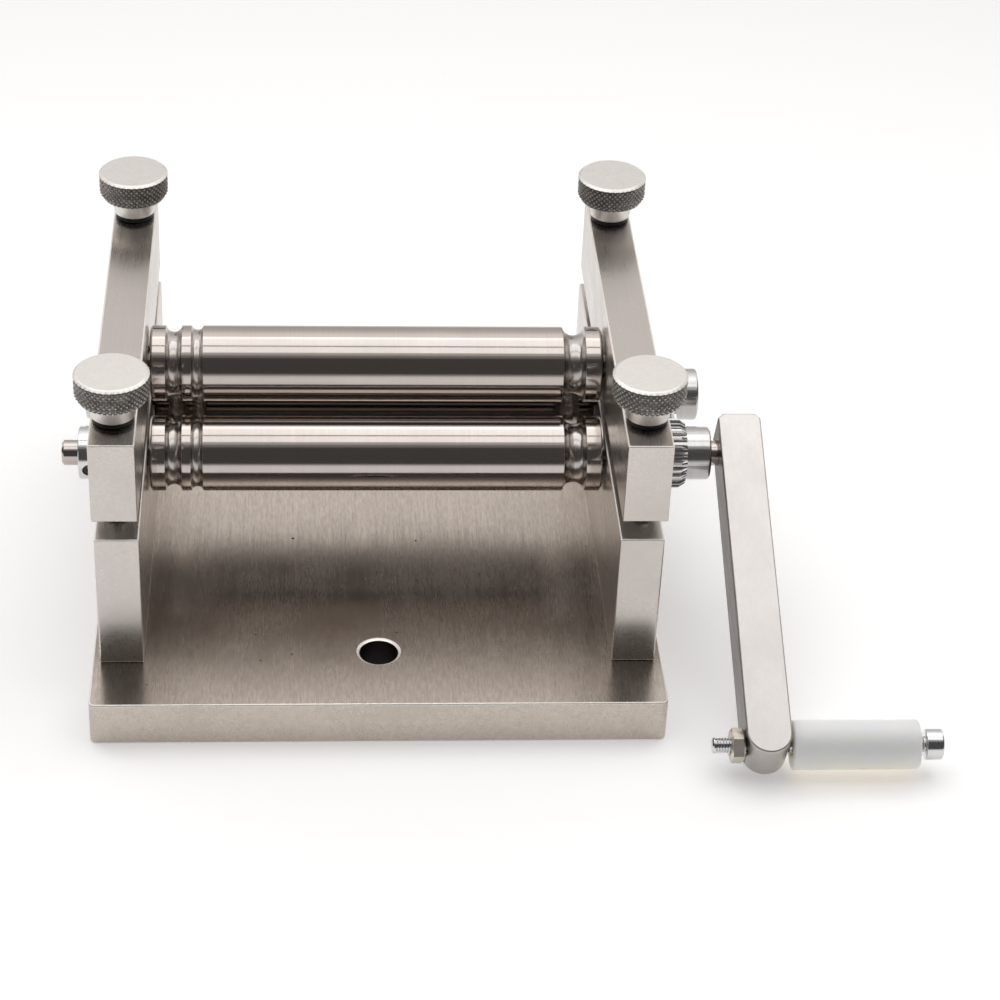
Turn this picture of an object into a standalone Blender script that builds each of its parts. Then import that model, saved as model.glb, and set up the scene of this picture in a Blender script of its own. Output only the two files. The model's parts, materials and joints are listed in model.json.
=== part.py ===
"""Hand-cranked bench roller: three grooved rolls between steel cheeks on a base plate.

X runs along the rolls towards the crank, Y runs from the front to the back and Z is up.
The origin is the middle of the base plate's underside. The lower rolls turn in the side
frames and are geared together through an idler. The upper roll hangs in two top bars,
which four thumb screws pull down against springs.
"""
import math

import bmesh
import bpy
from mathutils import Matrix, Vector

MM = 0.001

# Clearances
SEAT_GAP = 0.1 * MM
RUNNING_GAP = 0.1 * MM
THREAD_GAP = 0.2 * MM

# Base plate
BASE_WIDTH = 102.0 * MM
BASE_DEPTH = 113.2 * MM
BASE_THICKNESS = 8.4 * MM
BASE_CORNER_RADIUS = 1.2 * MM
BENCH_HOLE_RADIUS = 3.5 * MM
BENCH_HOLE_CHAMFER = 0.5 * MM
BENCH_HOLE_INSET = 15.2 * MM

# Side frames and top bars
CHEEK_LENGTH = 89.1 * MM
FRAME_INNER_X = 41.8 * MM
FRAME_THICKNESS = 7.8 * MM
FRAME_HEIGHT = 26.7 * MM
BAR_INNER_X = 41.9 * MM
BAR_WIDTH = 8.0 * MM
BAR_HEIGHT = 15.7 * MM
BAR_LIFT = 3.8 * MM
EDGE_BEVEL = 0.3 * MM

# Rolls
ROLL_RADIUS = 7.0 * MM
ROLL_HALF_LENGTH = 41.45 * MM
ROLL_CHAMFER = 0.4 * MM
JOURNAL_RADIUS = 2.35 * MM
LOWER_AXIS_DROP = 4.6 * MM
UPPER_AXIS_RISE = 4.6 * MM
# Each wire groove: middle along X, radius of its round bottom, depth
GROOVES = (
    (-37.15 * MM, 1.5 * MM, 1.2 * MM),
    (-32.9 * MM, 1.1 * MM, 0.8 * MM),
    (36.3 * MM, 2.1 * MM, 1.6 * MM),
)
FRONT_SHAFT_LEFT = -57.6 * MM
REAR_SHAFT_LEFT = -54.3 * MM
REAR_SHAFT_RIGHT = 61.5 * MM
UPPER_SHAFT_END = 49.6 * MM
BUSH_RADIUS = 3.2 * MM

# Gears
MODULE = 0.5 * MM
PRESSURE_ANGLE = math.radians(20.0)
BACKLASH = 0.1 * MM
ROLL_GEAR_TEETH = 24
IDLER_TEETH = 17
GEAR_START_X = 50.3 * MM
GEAR_FACE = 6.8 * MM
IDLER_FACE = 5.0 * MM
HUB_RADIUS = 4.95 * MM
HUB_LENGTH = 4.6 * MM
HUB_CHAMFER = 0.6 * MM
IDLER_PIN_RADIUS = 2.0 * MM
CLIP_RADIUS = 3.4 * MM
CLIP_THICKNESS = 0.6 * MM
CLIP_GROOVE_RADIUS = 1.6 * MM

# Shaft collars on the left
COLLAR_START_X = 50.1 * MM
COLLAR_LENGTH = 4.4 * MM
COLLAR_RADIUS = 4.9 * MM
SET_SCREW_RADIUS = 1.3 * MM
COLLAR_SCREW_ANGLE = math.radians(190.0)
GEAR_SCREW_ANGLE = math.radians(-60.0)

# Thumb screws, washers and springs
SCREW_Y = 36.1 * MM
SCREW_RADIUS = 1.9 * MM
SCREW_REACH = 10.2 * MM
SCREW_HOLE_DEPTH = 15.2 * MM
WASHER_THICKNESS = 1.0 * MM
WASHER_RADIUS = 3.6 * MM
THUMB_NECK_RADIUS = 3.85 * MM
THUMB_NECK_TOP_RADIUS = 4.3 * MM
THUMB_NECK_HEIGHT = 3.3 * MM
THUMB_HEAD_RADIUS = 6.55 * MM
THUMB_HEAD_HEIGHT = 5.1 * MM
THUMB_UNDERCUT = 0.6 * MM
THUMB_UNDERCUT_HEIGHT = 1.1 * MM
SPRING_RADIUS = 2.75 * MM
SPRING_WIRE_RADIUS = 0.3 * MM
SPRING_TURNS = 4
SPRING_SEAT_RADIUS = 3.4 * MM
SPRING_SEAT_DEPTH = 6.0 * MM

# Screws that hold the side frames to the base
FRAME_SCREW_Y = 22.0 * MM
FRAME_SCREW_HEAD_RADIUS = 3.8 * MM
FRAME_SCREW_HEAD_HEIGHT = 2.0 * MM
FRAME_SCREW_LENGTH = 17.5 * MM

# Crank and handle
ARM_INNER_X = 63.4 * MM
ARM_WIDTH = 8.0 * MM
ARM_DEPTH = 9.0 * MM
ARM_TOP_REACH = 6.0 * MM
ARM_TIP_REACH = 3.6 * MM
CRANK_RADIUS = 60.5 * MM
TABLE_CLEARANCE = 0.35 * MM
HANDLE_SCREW_RADIUS = 1.45 * MM
HANDLE_SCREW_END_X = 57.7 * MM
HANDLE_HEAD_RADIUS = 2.75 * MM
HANDLE_HEAD_HEIGHT = 3.1 * MM
NUT_WIDTH = 5.5 * MM
NUT_THICKNESS = 2.4 * MM
GRIP_RADIUS = 4.4 * MM
GRIP_BORE_RADIUS = 1.75 * MM
GRIP_LENGTH = 22.4 * MM
GRIP_END_PLAY = 1.2 * MM

# Smoothness of round surfaces
ROLL_SIDES = 24
ROUND_SIDES = 20
SMALL_SIDES = 12

# Heights and places that follow from the sizes above
FRAME_BOTTOM = BASE_THICKNESS + SEAT_GAP
FRAME_TOP = FRAME_BOTTOM + FRAME_HEIGHT
BAR_BOTTOM = FRAME_TOP + BAR_LIFT
BAR_TOP = BAR_BOTTOM + BAR_HEIGHT
LOWER_AXIS_Z = FRAME_TOP - LOWER_AXIS_DROP
UPPER_AXIS_Z = BAR_BOTTOM + UPPER_AXIS_RISE
LOWER_AXIS_Y = MODULE * (ROLL_GEAR_TEETH + IDLER_TEETH) / 2
FRAME_MIDDLE_X = FRAME_INNER_X + FRAME_THICKNESS / 2
BAR_MIDDLE_X = BAR_INNER_X + BAR_WIDTH / 2
SCREW_X = BAR_MIDDLE_X
FRONT_SHAFT_RIGHT = ARM_INNER_X + ARM_WIDTH - SEAT_GAP


def crank_drop_angle():
    """Angle below level at which the tip of the crank arm comes to the table."""
    reach = CRANK_RADIUS + ARM_TIP_REACH
    half_depth = ARM_DEPTH / 2
    drop = LOWER_AXIS_Z - TABLE_CLEARANCE
    return math.asin(drop / math.hypot(reach, half_depth)) - math.atan2(half_depth, reach)


def clear_scene():
    for old in list(bpy.data.objects):
        bpy.data.objects.remove(old, do_unlink=True)


def metal(name, color, roughness, metallic=1.0):
    material = bpy.data.materials.new(name)
    material.use_nodes = True
    shader = material.node_tree.nodes["Principled BSDF"]
    shader.inputs["Base Color"].default_value = (*color, 1.0)
    shader.inputs["Metallic"].default_value = metallic
    shader.inputs["Roughness"].default_value = roughness
    return material


FINISHES = {
    "machined_steel": ((0.62, 0.59, 0.56), 0.35, 1.0),
    "polished_steel": ((0.70, 0.69, 0.68), 0.12, 1.0),
    "bright_screw": ((0.66, 0.66, 0.67), 0.25, 1.0),
    "black_screw": ((0.03, 0.03, 0.03), 0.45, 0.6),
    "spring_steel": ((0.45, 0.44, 0.43), 0.3, 1.0),
    "bronze": ((0.65, 0.45, 0.22), 0.35, 1.0),
    "clear_nylon": ((0.86, 0.85, 0.78), 0.35, 0.0),
}


def finish(node, finish_name):
    """Give a node its own Principled material."""
    color, roughness, metallic = FINISHES[finish_name]
    node.data.materials.clear()
    node.data.materials.append(metal(node.name, color, roughness, metallic))
    return node


def node_from(name, shape, smooth=False):
    """Turn a bmesh into a named object with its faces pointing out."""
    bmesh.ops.recalc_face_normals(shape, faces=shape.faces)
    mesh = bpy.data.meshes.new(name)
    shape.to_mesh(mesh)
    shape.free()
    if smooth:
        mesh.shade_smooth()
        mesh.set_sharp_from_angle(angle=math.radians(35.0))
    node = bpy.data.objects.new(name, mesh)
    bpy.context.collection.objects.link(node)
    return node


def place(node, location, parent=None, turn_x=0.0):
    """Set a node's local place and its turn about X, under an optional empty."""
    node.parent = parent
    node.location = location
    node.rotation_euler = (turn_x, 0.0, 0.0)
    return node


def axis_empty(name, location):
    empty = bpy.data.objects.new(name, None)
    empty.location = location
    bpy.context.collection.objects.link(empty)
    return empty


def ring_point(axis, radius, station, angle):
    """A point on a circle around the local X or Z axis."""
    across, up = radius * math.cos(angle), radius * math.sin(angle)
    if axis == "X":
        return (station, across, up)
    return (across, up, station)


def turned(name, outline, sides=ROUND_SIDES, axis="X", bored=False):
    """Turn an outline of (radius, station) points about an axis.

    A bored outline is a closed loop; a plain one is closed by flat ends.
    """
    shape = bmesh.new()
    angles = [2 * math.pi * step / sides for step in range(sides)]
    rings = [
        [shape.verts.new(ring_point(axis, radius, station, angle)) for angle in angles]
        for radius, station in outline
    ]
    pairs = list(zip(rings, rings[1:]))
    if bored:
        pairs.append((rings[-1], rings[0]))
    for near, far in pairs:
        for step in range(sides):
            after = (step + 1) % sides
            shape.faces.new((near[step], near[after], far[after], far[step]))
    if not bored:
        shape.faces.new(rings[0])
        shape.faces.new(rings[-1])
    return node_from(name, shape, smooth=True)


def tube(name, start, end, inner, outer, chamfer=0.0, sides=ROUND_SIDES, axis="X"):
    """A ring between two stations, its outer edges chamfered where asked."""
    if chamfer:
        outline = [
            (inner, start),
            (outer - chamfer, start),
            (outer, start + chamfer),
            (outer, end - chamfer),
            (outer - chamfer, end),
            (inner, end),
        ]
    else:
        outline = [(inner, start), (outer, start), (outer, end), (inner, end)]
    return turned(name, outline, sides, axis, bored=True)


def block(name, size, bevel, corner_radius=0.0):
    """A box about its own middle, with rounded upright corners and bevelled edges."""
    shape = bmesh.new()
    bmesh.ops.create_cube(shape, size=1.0)
    bmesh.ops.scale(shape, vec=size, verts=shape.verts)
    if corner_radius:
        upright = [
            edge for edge in shape.edges
            if abs(edge.verts[0].co.z - edge.verts[1].co.z) > size[2] / 2
        ]
        bmesh.ops.bevel(shape, geom=upright, offset=corner_radius, segments=3, profile=0.5,
                        affect="EDGES")
        edges = [
            edge for edge in shape.edges
            if abs(edge.verts[0].co.z - edge.verts[1].co.z) < size[2] / 2
        ]
    else:
        edges = list(shape.edges)
    bmesh.ops.bevel(shape, geom=edges, offset=bevel, segments=1, affect="EDGES")
    return node_from(name, shape)


def combine(node, tool, operation):
    """Apply one exact Boolean to a node and drop the tool."""
    modifier = node.modifiers.new(operation.lower(), "BOOLEAN")
    modifier.operation = operation
    modifier.solver = "EXACT"
    modifier.object = tool
    bpy.context.view_layer.update()
    evaluated = node.evaluated_get(bpy.context.evaluated_depsgraph_get())
    mesh = bpy.data.meshes.new_from_object(evaluated)
    node.modifiers.clear()
    node.data = mesh
    mesh.name = node.name
    bpy.data.objects.remove(tool, do_unlink=True)
    return node


def drill(node, point, direction, radius, depth, mouth_radius=None, sides=ROUND_SIDES):
    """Cut a round hole from a point along a direction, in the node's own space.

    With a mouth radius, the first stretch is a countersink down to the hole's radius.
    """
    overshoot = 1.0 * MM
    outline = [(radius, -overshoot), (radius, depth)]
    if mouth_radius:
        outline = [(mouth_radius, -overshoot), (mouth_radius, 0.0),
                   (radius, mouth_radius - radius), (radius, depth)]
    tool = turned("tool", outline, sides, "X")
    aim = Vector(direction).to_track_quat("X", "Z").to_matrix().to_4x4()
    tool.matrix_world = Matrix.Translation(point) @ aim
    return combine(node, tool, "DIFFERENCE")


def smooth_round(node):
    node.data.shade_smooth()
    node.data.set_sharp_from_angle(angle=math.radians(35.0))
    return node


# Base and side frames


def base_plate():
    plate = block("base_plate", (BASE_WIDTH, BASE_DEPTH, BASE_THICKNESS), EDGE_BEVEL,
                  BASE_CORNER_RADIUS)
    top = BASE_THICKNESS / 2
    hole_y = BASE_DEPTH / 2 - BENCH_HOLE_INSET
    for side in (-1, 1):
        drill(plate, (0.0, side * hole_y, top), (0, 0, -1), BENCH_HOLE_RADIUS,
              BASE_THICKNESS + MM, BENCH_HOLE_RADIUS + BENCH_HOLE_CHAMFER)
        for end in (-1, 1):
            drill(plate, (side * FRAME_MIDDLE_X, end * FRAME_SCREW_Y, -top), (0, 0, 1),
                  SCREW_RADIUS + THREAD_GAP, BASE_THICKNESS + MM,
                  FRAME_SCREW_HEAD_RADIUS + 2.5 * THREAD_GAP, SMALL_SIDES)
    place(plate, (0.0, 0.0, BASE_THICKNESS / 2))
    return finish(plate, "machined_steel")


def side_frame(name, side):
    frame = block(name, (FRAME_THICKNESS, CHEEK_LENGTH, FRAME_HEIGHT), EDGE_BEVEL)
    half_height = FRAME_HEIGHT / 2
    middle_z = FRAME_BOTTOM + half_height
    bore_z = LOWER_AXIS_Z - middle_z
    for end in (-1, 1):
        drill(frame, (-FRAME_THICKNESS / 2, end * LOWER_AXIS_Y, bore_z), (1, 0, 0),
              BUSH_RADIUS + RUNNING_GAP, FRAME_THICKNESS + MM)
        drill(frame, (SCREW_X * side - FRAME_MIDDLE_X * side, end * SCREW_Y, half_height),
              (0, 0, -1), SCREW_RADIUS + THREAD_GAP, SCREW_HOLE_DEPTH, sides=SMALL_SIDES)
        drill(frame, (0.0, end * FRAME_SCREW_Y, -half_height), (0, 0, 1),
              SCREW_RADIUS + THREAD_GAP, FRAME_SCREW_LENGTH - BASE_THICKNESS + MM,
              sides=SMALL_SIDES)
    if side > 0:
        drill(frame, (FRAME_THICKNESS / 2, 0.0, bore_z), (-1, 0, 0),
              IDLER_PIN_RADIUS + RUNNING_GAP, FRAME_THICKNESS - MM, sides=SMALL_SIDES)
    place(frame, (side * FRAME_MIDDLE_X, 0.0, middle_z))
    return finish(frame, "machined_steel")


def frame_screw(name, x, y):
    """Countersunk screw from below the base into a side frame, with a hex socket."""
    head_end = FRAME_SCREW_HEAD_HEIGHT
    outline = [
        (FRAME_SCREW_HEAD_RADIUS, 0.0),
        (SCREW_RADIUS, head_end),
        (SCREW_RADIUS, FRAME_SCREW_LENGTH - THREAD_GAP),
        (SCREW_RADIUS - THREAD_GAP, FRAME_SCREW_LENGTH),
    ]
    screw = turned(name, outline, SMALL_SIDES, "Z")
    drill(screw, (0, 0, 0), (0, 0, 1), 1.25 * MM, 1.4 * MM, sides=6)
    place(screw, (x, y, SEAT_GAP * 2))
    return finish(screw, "black_screw")


def bush(name, start_x, y, z, parent=None):
    length = FRAME_THICKNESS - 2 * SEAT_GAP
    sleeve = tube(name, 0.0, length, JOURNAL_RADIUS + RUNNING_GAP, BUSH_RADIUS)
    place(sleeve, (start_x, y, z), parent)
    return finish(sleeve, "bronze")


# Rolls


def groove_points(middle, bottom_radius, depth):
    """Round groove in a roll's outline, from left to right."""
    centre_radius = ROLL_RADIUS - depth + bottom_radius
    half_angle = math.acos((bottom_radius - depth) / bottom_radius)
    steps = 4
    points = []
    for step in range(steps + 1):
        angle = half_angle * (2 * step / steps - 1)
        points.append((centre_radius - bottom_radius * math.cos(angle),
                       middle + bottom_radius * math.sin(angle)))
    return points


def roll(name, left_end, right_end, parent):
    """A roll with its journals, turned from one bar."""
    end_chamfer = ROLL_CHAMFER
    outline = [
        (JOURNAL_RADIUS - end_chamfer, left_end),
        (JOURNAL_RADIUS, left_end + end_chamfer),
        (JOURNAL_RADIUS, -ROLL_HALF_LENGTH),
        (ROLL_RADIUS - end_chamfer, -ROLL_HALF_LENGTH),
        (ROLL_RADIUS, -ROLL_HALF_LENGTH + end_chamfer),
    ]
    for groove in GROOVES:
        outline += groove_points(*groove)
    outline += [
        (ROLL_RADIUS, ROLL_HALF_LENGTH - end_chamfer),
        (ROLL_RADIUS - end_chamfer, ROLL_HALF_LENGTH),
        (JOURNAL_RADIUS, ROLL_HALF_LENGTH),
        (JOURNAL_RADIUS, right_end - end_chamfer),
        (JOURNAL_RADIUS - end_chamfer, right_end),
    ]
    shaft = turned(name, outline, ROLL_SIDES)
    place(shaft, (0, 0, 0), parent)
    return finish(shaft, "polished_steel")


# Gears and shaft collars


def involute(radius, base_radius):
    """Angle swept by an involute between its base circle and a radius."""
    ratio = base_radius / radius
    return math.sqrt(1.0 / ratio**2 - 1.0) - math.acos(ratio)


def tooth_points(teeth, first_angle):
    """Outline of a spur gear, one tooth centred on the first angle."""
    pitch_radius = MODULE * teeth / 2
    base_radius = pitch_radius * math.cos(PRESSURE_ANGLE)
    root_radius = pitch_radius - 1.2 * MODULE
    tip_radius = pitch_radius + 0.9 * MODULE
    pitch_half = math.pi / (2 * teeth) - BACKLASH / (2 * pitch_radius)
    pitch_involute = involute(pitch_radius, base_radius)
    flank = []
    for radius in (max(base_radius, root_radius), pitch_radius, tip_radius):
        flank.append((radius, pitch_half + pitch_involute - involute(radius, base_radius)))
    half_tooth = [(root_radius, flank[0][1])] + flank
    points = []
    for tooth in range(teeth):
        middle = first_angle + 2 * math.pi * tooth / teeth
        for radius, half_angle in half_tooth:
            points.append((radius, middle - half_angle))
        for radius, half_angle in reversed(half_tooth):
            points.append((radius, middle + half_angle))
    return points


def gear_blank(name, teeth, face, first_angle):
    """Solid spur gear from X = 0 to its face width."""
    shape = bmesh.new()
    outline = [
        shape.verts.new((0.0, radius * math.cos(angle), radius * math.sin(angle)))
        for radius, angle in tooth_points(teeth, first_angle)
    ]
    side = shape.faces.new(outline)
    moved = bmesh.ops.extrude_face_region(shape, geom=[side])["geom"]
    far = [item for item in moved if isinstance(item, bmesh.types.BMVert)]
    bmesh.ops.translate(shape, vec=(face, 0.0, 0.0), verts=far)
    return node_from(name, shape)


def radial(angle):
    """Unit direction across the rolls, at an angle from +Y towards +Z."""
    return Vector((0.0, math.cos(angle), math.sin(angle)))


def roll_gear(name, first_angle, parent):
    """Spur gear with a hub, cross-drilled for its set screw."""
    gear = gear_blank(name, ROLL_GEAR_TEETH, GEAR_FACE, first_angle)
    hub_end = GEAR_FACE + HUB_LENGTH
    hub = turned("hub", [
        (HUB_RADIUS, GEAR_FACE / 2),
        (HUB_RADIUS, hub_end - HUB_CHAMFER),
        (HUB_RADIUS - HUB_CHAMFER * 0.3, hub_end - HUB_CHAMFER * 0.4),
        (HUB_RADIUS - HUB_CHAMFER, hub_end),
    ])
    combine(gear, hub, "UNION")
    drill(gear, (-MM, 0, 0), (1, 0, 0), JOURNAL_RADIUS + RUNNING_GAP, hub_end + 3 * MM)
    direction = radial(GEAR_SCREW_ANGLE)
    screw_x = GEAR_FACE + HUB_LENGTH / 2
    drill(gear, Vector((screw_x, 0, 0)) + direction * HUB_RADIUS, -direction,
          SET_SCREW_RADIUS + RUNNING_GAP, HUB_RADIUS - JOURNAL_RADIUS / 2, sides=SMALL_SIDES)
    smooth_round(gear)
    place(gear, (GEAR_START_X, 0, 0), parent)
    return finish(gear, "polished_steel")


def idler_gear(location):
    """Plain spur gear that carries the turn from the front roll to the rear one."""
    first_angle = 0.0
    gear = gear_blank("idler_gear", IDLER_TEETH, IDLER_FACE, first_angle)
    drill(gear, (-MM, 0, 0), (1, 0, 0), IDLER_PIN_RADIUS + RUNNING_GAP, IDLER_FACE + 3 * MM,
          sides=SMALL_SIDES)
    smooth_round(gear)
    place(gear, location)
    return finish(gear, "polished_steel")


def idler_pin():
    """Pin pressed into the right side frame, with a groove for its clip."""
    groove_start = GEAR_START_X + IDLER_FACE + SEAT_GAP
    groove_end = groove_start + CLIP_THICKNESS + 2 * SEAT_GAP
    end = groove_end + 0.6 * MM
    outline = [
        (IDLER_PIN_RADIUS, FRAME_INNER_X + 1.5 * MM),
        (IDLER_PIN_RADIUS, groove_start),
        (CLIP_GROOVE_RADIUS, groove_start),
        (CLIP_GROOVE_RADIUS, groove_end),
        (IDLER_PIN_RADIUS, groove_end),
        (IDLER_PIN_RADIUS, end - SEAT_GAP),
        (IDLER_PIN_RADIUS - 0.2 * MM, end),
    ]
    pin = turned("idler_pin", outline, SMALL_SIDES)
    place(pin, (0.0, 0.0, LOWER_AXIS_Z))
    finish(pin, "bright_screw")
    clip_start = groove_start + SEAT_GAP
    clip = tube("idler_clip", clip_start, clip_start + CLIP_THICKNESS,
                CLIP_GROOVE_RADIUS + RUNNING_GAP, CLIP_RADIUS, sides=SMALL_SIDES)
    place(clip, (0.0, 0.0, LOWER_AXIS_Z))
    finish(clip, "spring_steel")


def shaft_collar(name, parent):
    """Ring on a shaft's left end, cross-drilled for its set screw."""
    collar = tube(name, -COLLAR_LENGTH, 0.0, JOURNAL_RADIUS + RUNNING_GAP, COLLAR_RADIUS,
                  ROLL_CHAMFER)
    direction = radial(COLLAR_SCREW_ANGLE)
    drill(collar, Vector((-COLLAR_LENGTH / 2, 0, 0)) + direction * COLLAR_RADIUS, -direction,
          SET_SCREW_RADIUS + RUNNING_GAP, COLLAR_RADIUS - JOURNAL_RADIUS / 2,
          sides=SMALL_SIDES)
    smooth_round(collar)
    place(collar, (-COLLAR_START_X, 0, 0), parent)
    return finish(collar, "bright_screw")


def set_screw(name, x, angle, outer_radius, parent):
    """Grub screw standing on the shaft, pointing out at an angle."""
    length = outer_radius - JOURNAL_RADIUS - 4 * SEAT_GAP
    screw = turned(name, [(SET_SCREW_RADIUS, 0.0), (SET_SCREW_RADIUS, length)],
                   SMALL_SIDES, "Z")
    drill(screw, (0, 0, length), (0, 0, -1), 0.75 * MM, length / 2, sides=6)
    start = radial(angle) * (JOURNAL_RADIUS + SEAT_GAP)
    place(screw, (x, start.y, start.z), parent, angle - math.pi / 2)
    return finish(screw, "black_screw")


# Top bars, thumb screws and springs


def top_bar(name, side, parent):
    bar = block(name, (BAR_WIDTH, CHEEK_LENGTH, BAR_HEIGHT), EDGE_BEVEL)
    half_height = BAR_HEIGHT / 2
    bore_z = UPPER_AXIS_RISE - half_height
    drill(bar, (-BAR_WIDTH / 2, 0.0, bore_z), (1, 0, 0), BUSH_RADIUS + RUNNING_GAP,
          BAR_WIDTH + MM)
    for end in (-1, 1):
        drill(bar, (0.0, end * SCREW_Y, half_height), (0, 0, -1),
              SCREW_RADIUS + THREAD_GAP, BAR_HEIGHT + MM, sides=SMALL_SIDES)
        drill(bar, (0.0, end * SCREW_Y, -half_height), (0, 0, 1), SPRING_SEAT_RADIUS,
              SPRING_SEAT_DEPTH, sides=ROUND_SIDES)
    place(bar, (side * BAR_MIDDLE_X, 0.0, half_height), parent)
    return finish(bar, "machined_steel")


def screw_washer(name, x, y, parent):
    washer = tube(name, 0.0, WASHER_THICKNESS - SEAT_GAP, SCREW_RADIUS + THREAD_GAP,
                  WASHER_RADIUS, sides=ROUND_SIDES, axis="Z")
    place(washer, (x, y, BAR_HEIGHT + SEAT_GAP), parent)
    return finish(washer, "black_screw")


def thumb_screw(name, x, y, parent):
    """Broad-headed screw; its neck bears on the washer and its thread on the frame."""
    seat = BAR_HEIGHT + WASHER_THICKNESS + SEAT_GAP
    head_start = seat + THUMB_NECK_HEIGHT
    head_end = head_start + THUMB_HEAD_HEIGHT
    tip = -(BAR_LIFT + SCREW_REACH)
    bevel = 0.35 * MM
    outline = [
        (SCREW_RADIUS - bevel, tip),
        (SCREW_RADIUS, tip + bevel),
        (SCREW_RADIUS, seat),
        (THUMB_NECK_RADIUS, seat),
        (THUMB_NECK_TOP_RADIUS, head_start),
        (THUMB_HEAD_RADIUS - THUMB_UNDERCUT, head_start),
        (THUMB_HEAD_RADIUS, head_start + THUMB_UNDERCUT_HEIGHT),
        (THUMB_HEAD_RADIUS, head_end - bevel),
        (THUMB_HEAD_RADIUS - bevel, head_end),
    ]
    screw = turned(name, outline, ROUND_SIDES, "Z")
    place(screw, (x, y, 0.0), parent)
    return finish(screw, "bright_screw")


def lift_spring(name, x, y):
    """Open coil round a thumb screw, from the frame's top into the bar."""
    wire_sides = 5
    steps_per_turn = 9
    bottom = SPRING_WIRE_RADIUS + SEAT_GAP
    top = BAR_LIFT + SPRING_SEAT_DEPTH - SPRING_WIRE_RADIUS - SEAT_GAP
    steps = SPRING_TURNS * steps_per_turn
    shape = bmesh.new()
    rings = []
    for step in range(steps + 1):
        angle = 2 * math.pi * step / steps_per_turn
        height = bottom + (top - bottom) * step / steps
        ring = []
        for side in range(wire_sides):
            around = 2 * math.pi * side / wire_sides
            radius = SPRING_RADIUS + SPRING_WIRE_RADIUS * math.cos(around)
            ring.append(shape.verts.new((
                radius * math.cos(angle),
                radius * math.sin(angle),
                height + SPRING_WIRE_RADIUS * math.sin(around),
            )))
        rings.append(ring)
    for near, far in zip(rings, rings[1:]):
        for side in range(wire_sides):
            after = (side + 1) % wire_sides
            shape.faces.new((near[side], near[after], far[after], far[side]))
    shape.faces.new(rings[0])
    shape.faces.new(rings[-1])
    spring = node_from(name, shape, smooth=True)
    place(spring, (x, y, FRAME_TOP))
    return finish(spring, "spring_steel")


# Crank and handle


def crank_arm(drop, parent):
    """Square bar along local -Y, its far end rounded in the plane of its broad face."""
    half_width = ARM_WIDTH / 2
    corner = 1.0 * MM
    tip_y = -(CRANK_RADIUS + ARM_TIP_REACH)
    outline = [
        (-half_width + corner, ARM_TOP_REACH),
        (-half_width, ARM_TOP_REACH - corner),
    ]
    round_steps = 8
    for step in range(round_steps + 1):
        angle = math.pi * step / round_steps
        outline.append((-half_width * math.cos(angle),
                        tip_y + half_width - half_width * math.sin(angle)))
    outline += [
        (half_width, ARM_TOP_REACH - corner),
        (half_width - corner, ARM_TOP_REACH),
    ]
    shape = bmesh.new()
    face = shape.faces.new([shape.verts.new((x, y, -ARM_DEPTH / 2)) for x, y in outline])
    moved = bmesh.ops.extrude_face_region(shape, geom=[face])["geom"]
    top = [item for item in moved if isinstance(item, bmesh.types.BMVert)]
    bmesh.ops.translate(shape, vec=(0.0, 0.0, ARM_DEPTH), verts=top)
    rims = [
        edge for edge in shape.edges
        if abs(edge.verts[0].co.z - edge.verts[1].co.z) < ARM_DEPTH / 2
    ]
    bmesh.ops.bevel(shape, geom=rims, offset=EDGE_BEVEL, segments=1, affect="EDGES")
    arm = node_from("crank_arm", shape)
    drill(arm, (-half_width, 0, 0), (1, 0, 0), JOURNAL_RADIUS + RUNNING_GAP, ARM_WIDTH + MM)
    drill(arm, (-half_width, -CRANK_RADIUS, 0), (1, 0, 0), HANDLE_SCREW_RADIUS + THREAD_GAP,
          ARM_WIDTH + MM, sides=SMALL_SIDES)
    drill(arm, (0, ARM_TOP_REACH, 0), (0, -1, 0), SET_SCREW_RADIUS + RUNNING_GAP,
          ARM_TOP_REACH - JOURNAL_RADIUS / 2, sides=SMALL_SIDES)
    smooth_round(arm)
    place(arm, (ARM_INNER_X + half_width, 0, 0), parent, drop)
    finish(arm, "machined_steel")
    set_screw("crank_set_screw", ARM_INNER_X + half_width, drop, ARM_TOP_REACH, parent)


def hexagon(name, width, start, end):
    """Six-sided prism along local X."""
    corner_radius = width / math.sqrt(3.0)
    chamfer = 0.25 * MM
    return turned(name, [
        (corner_radius - chamfer, start),
        (corner_radius, start + chamfer),
        (corner_radius, end - chamfer),
        (corner_radius - chamfer, end),
    ], 6)


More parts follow.
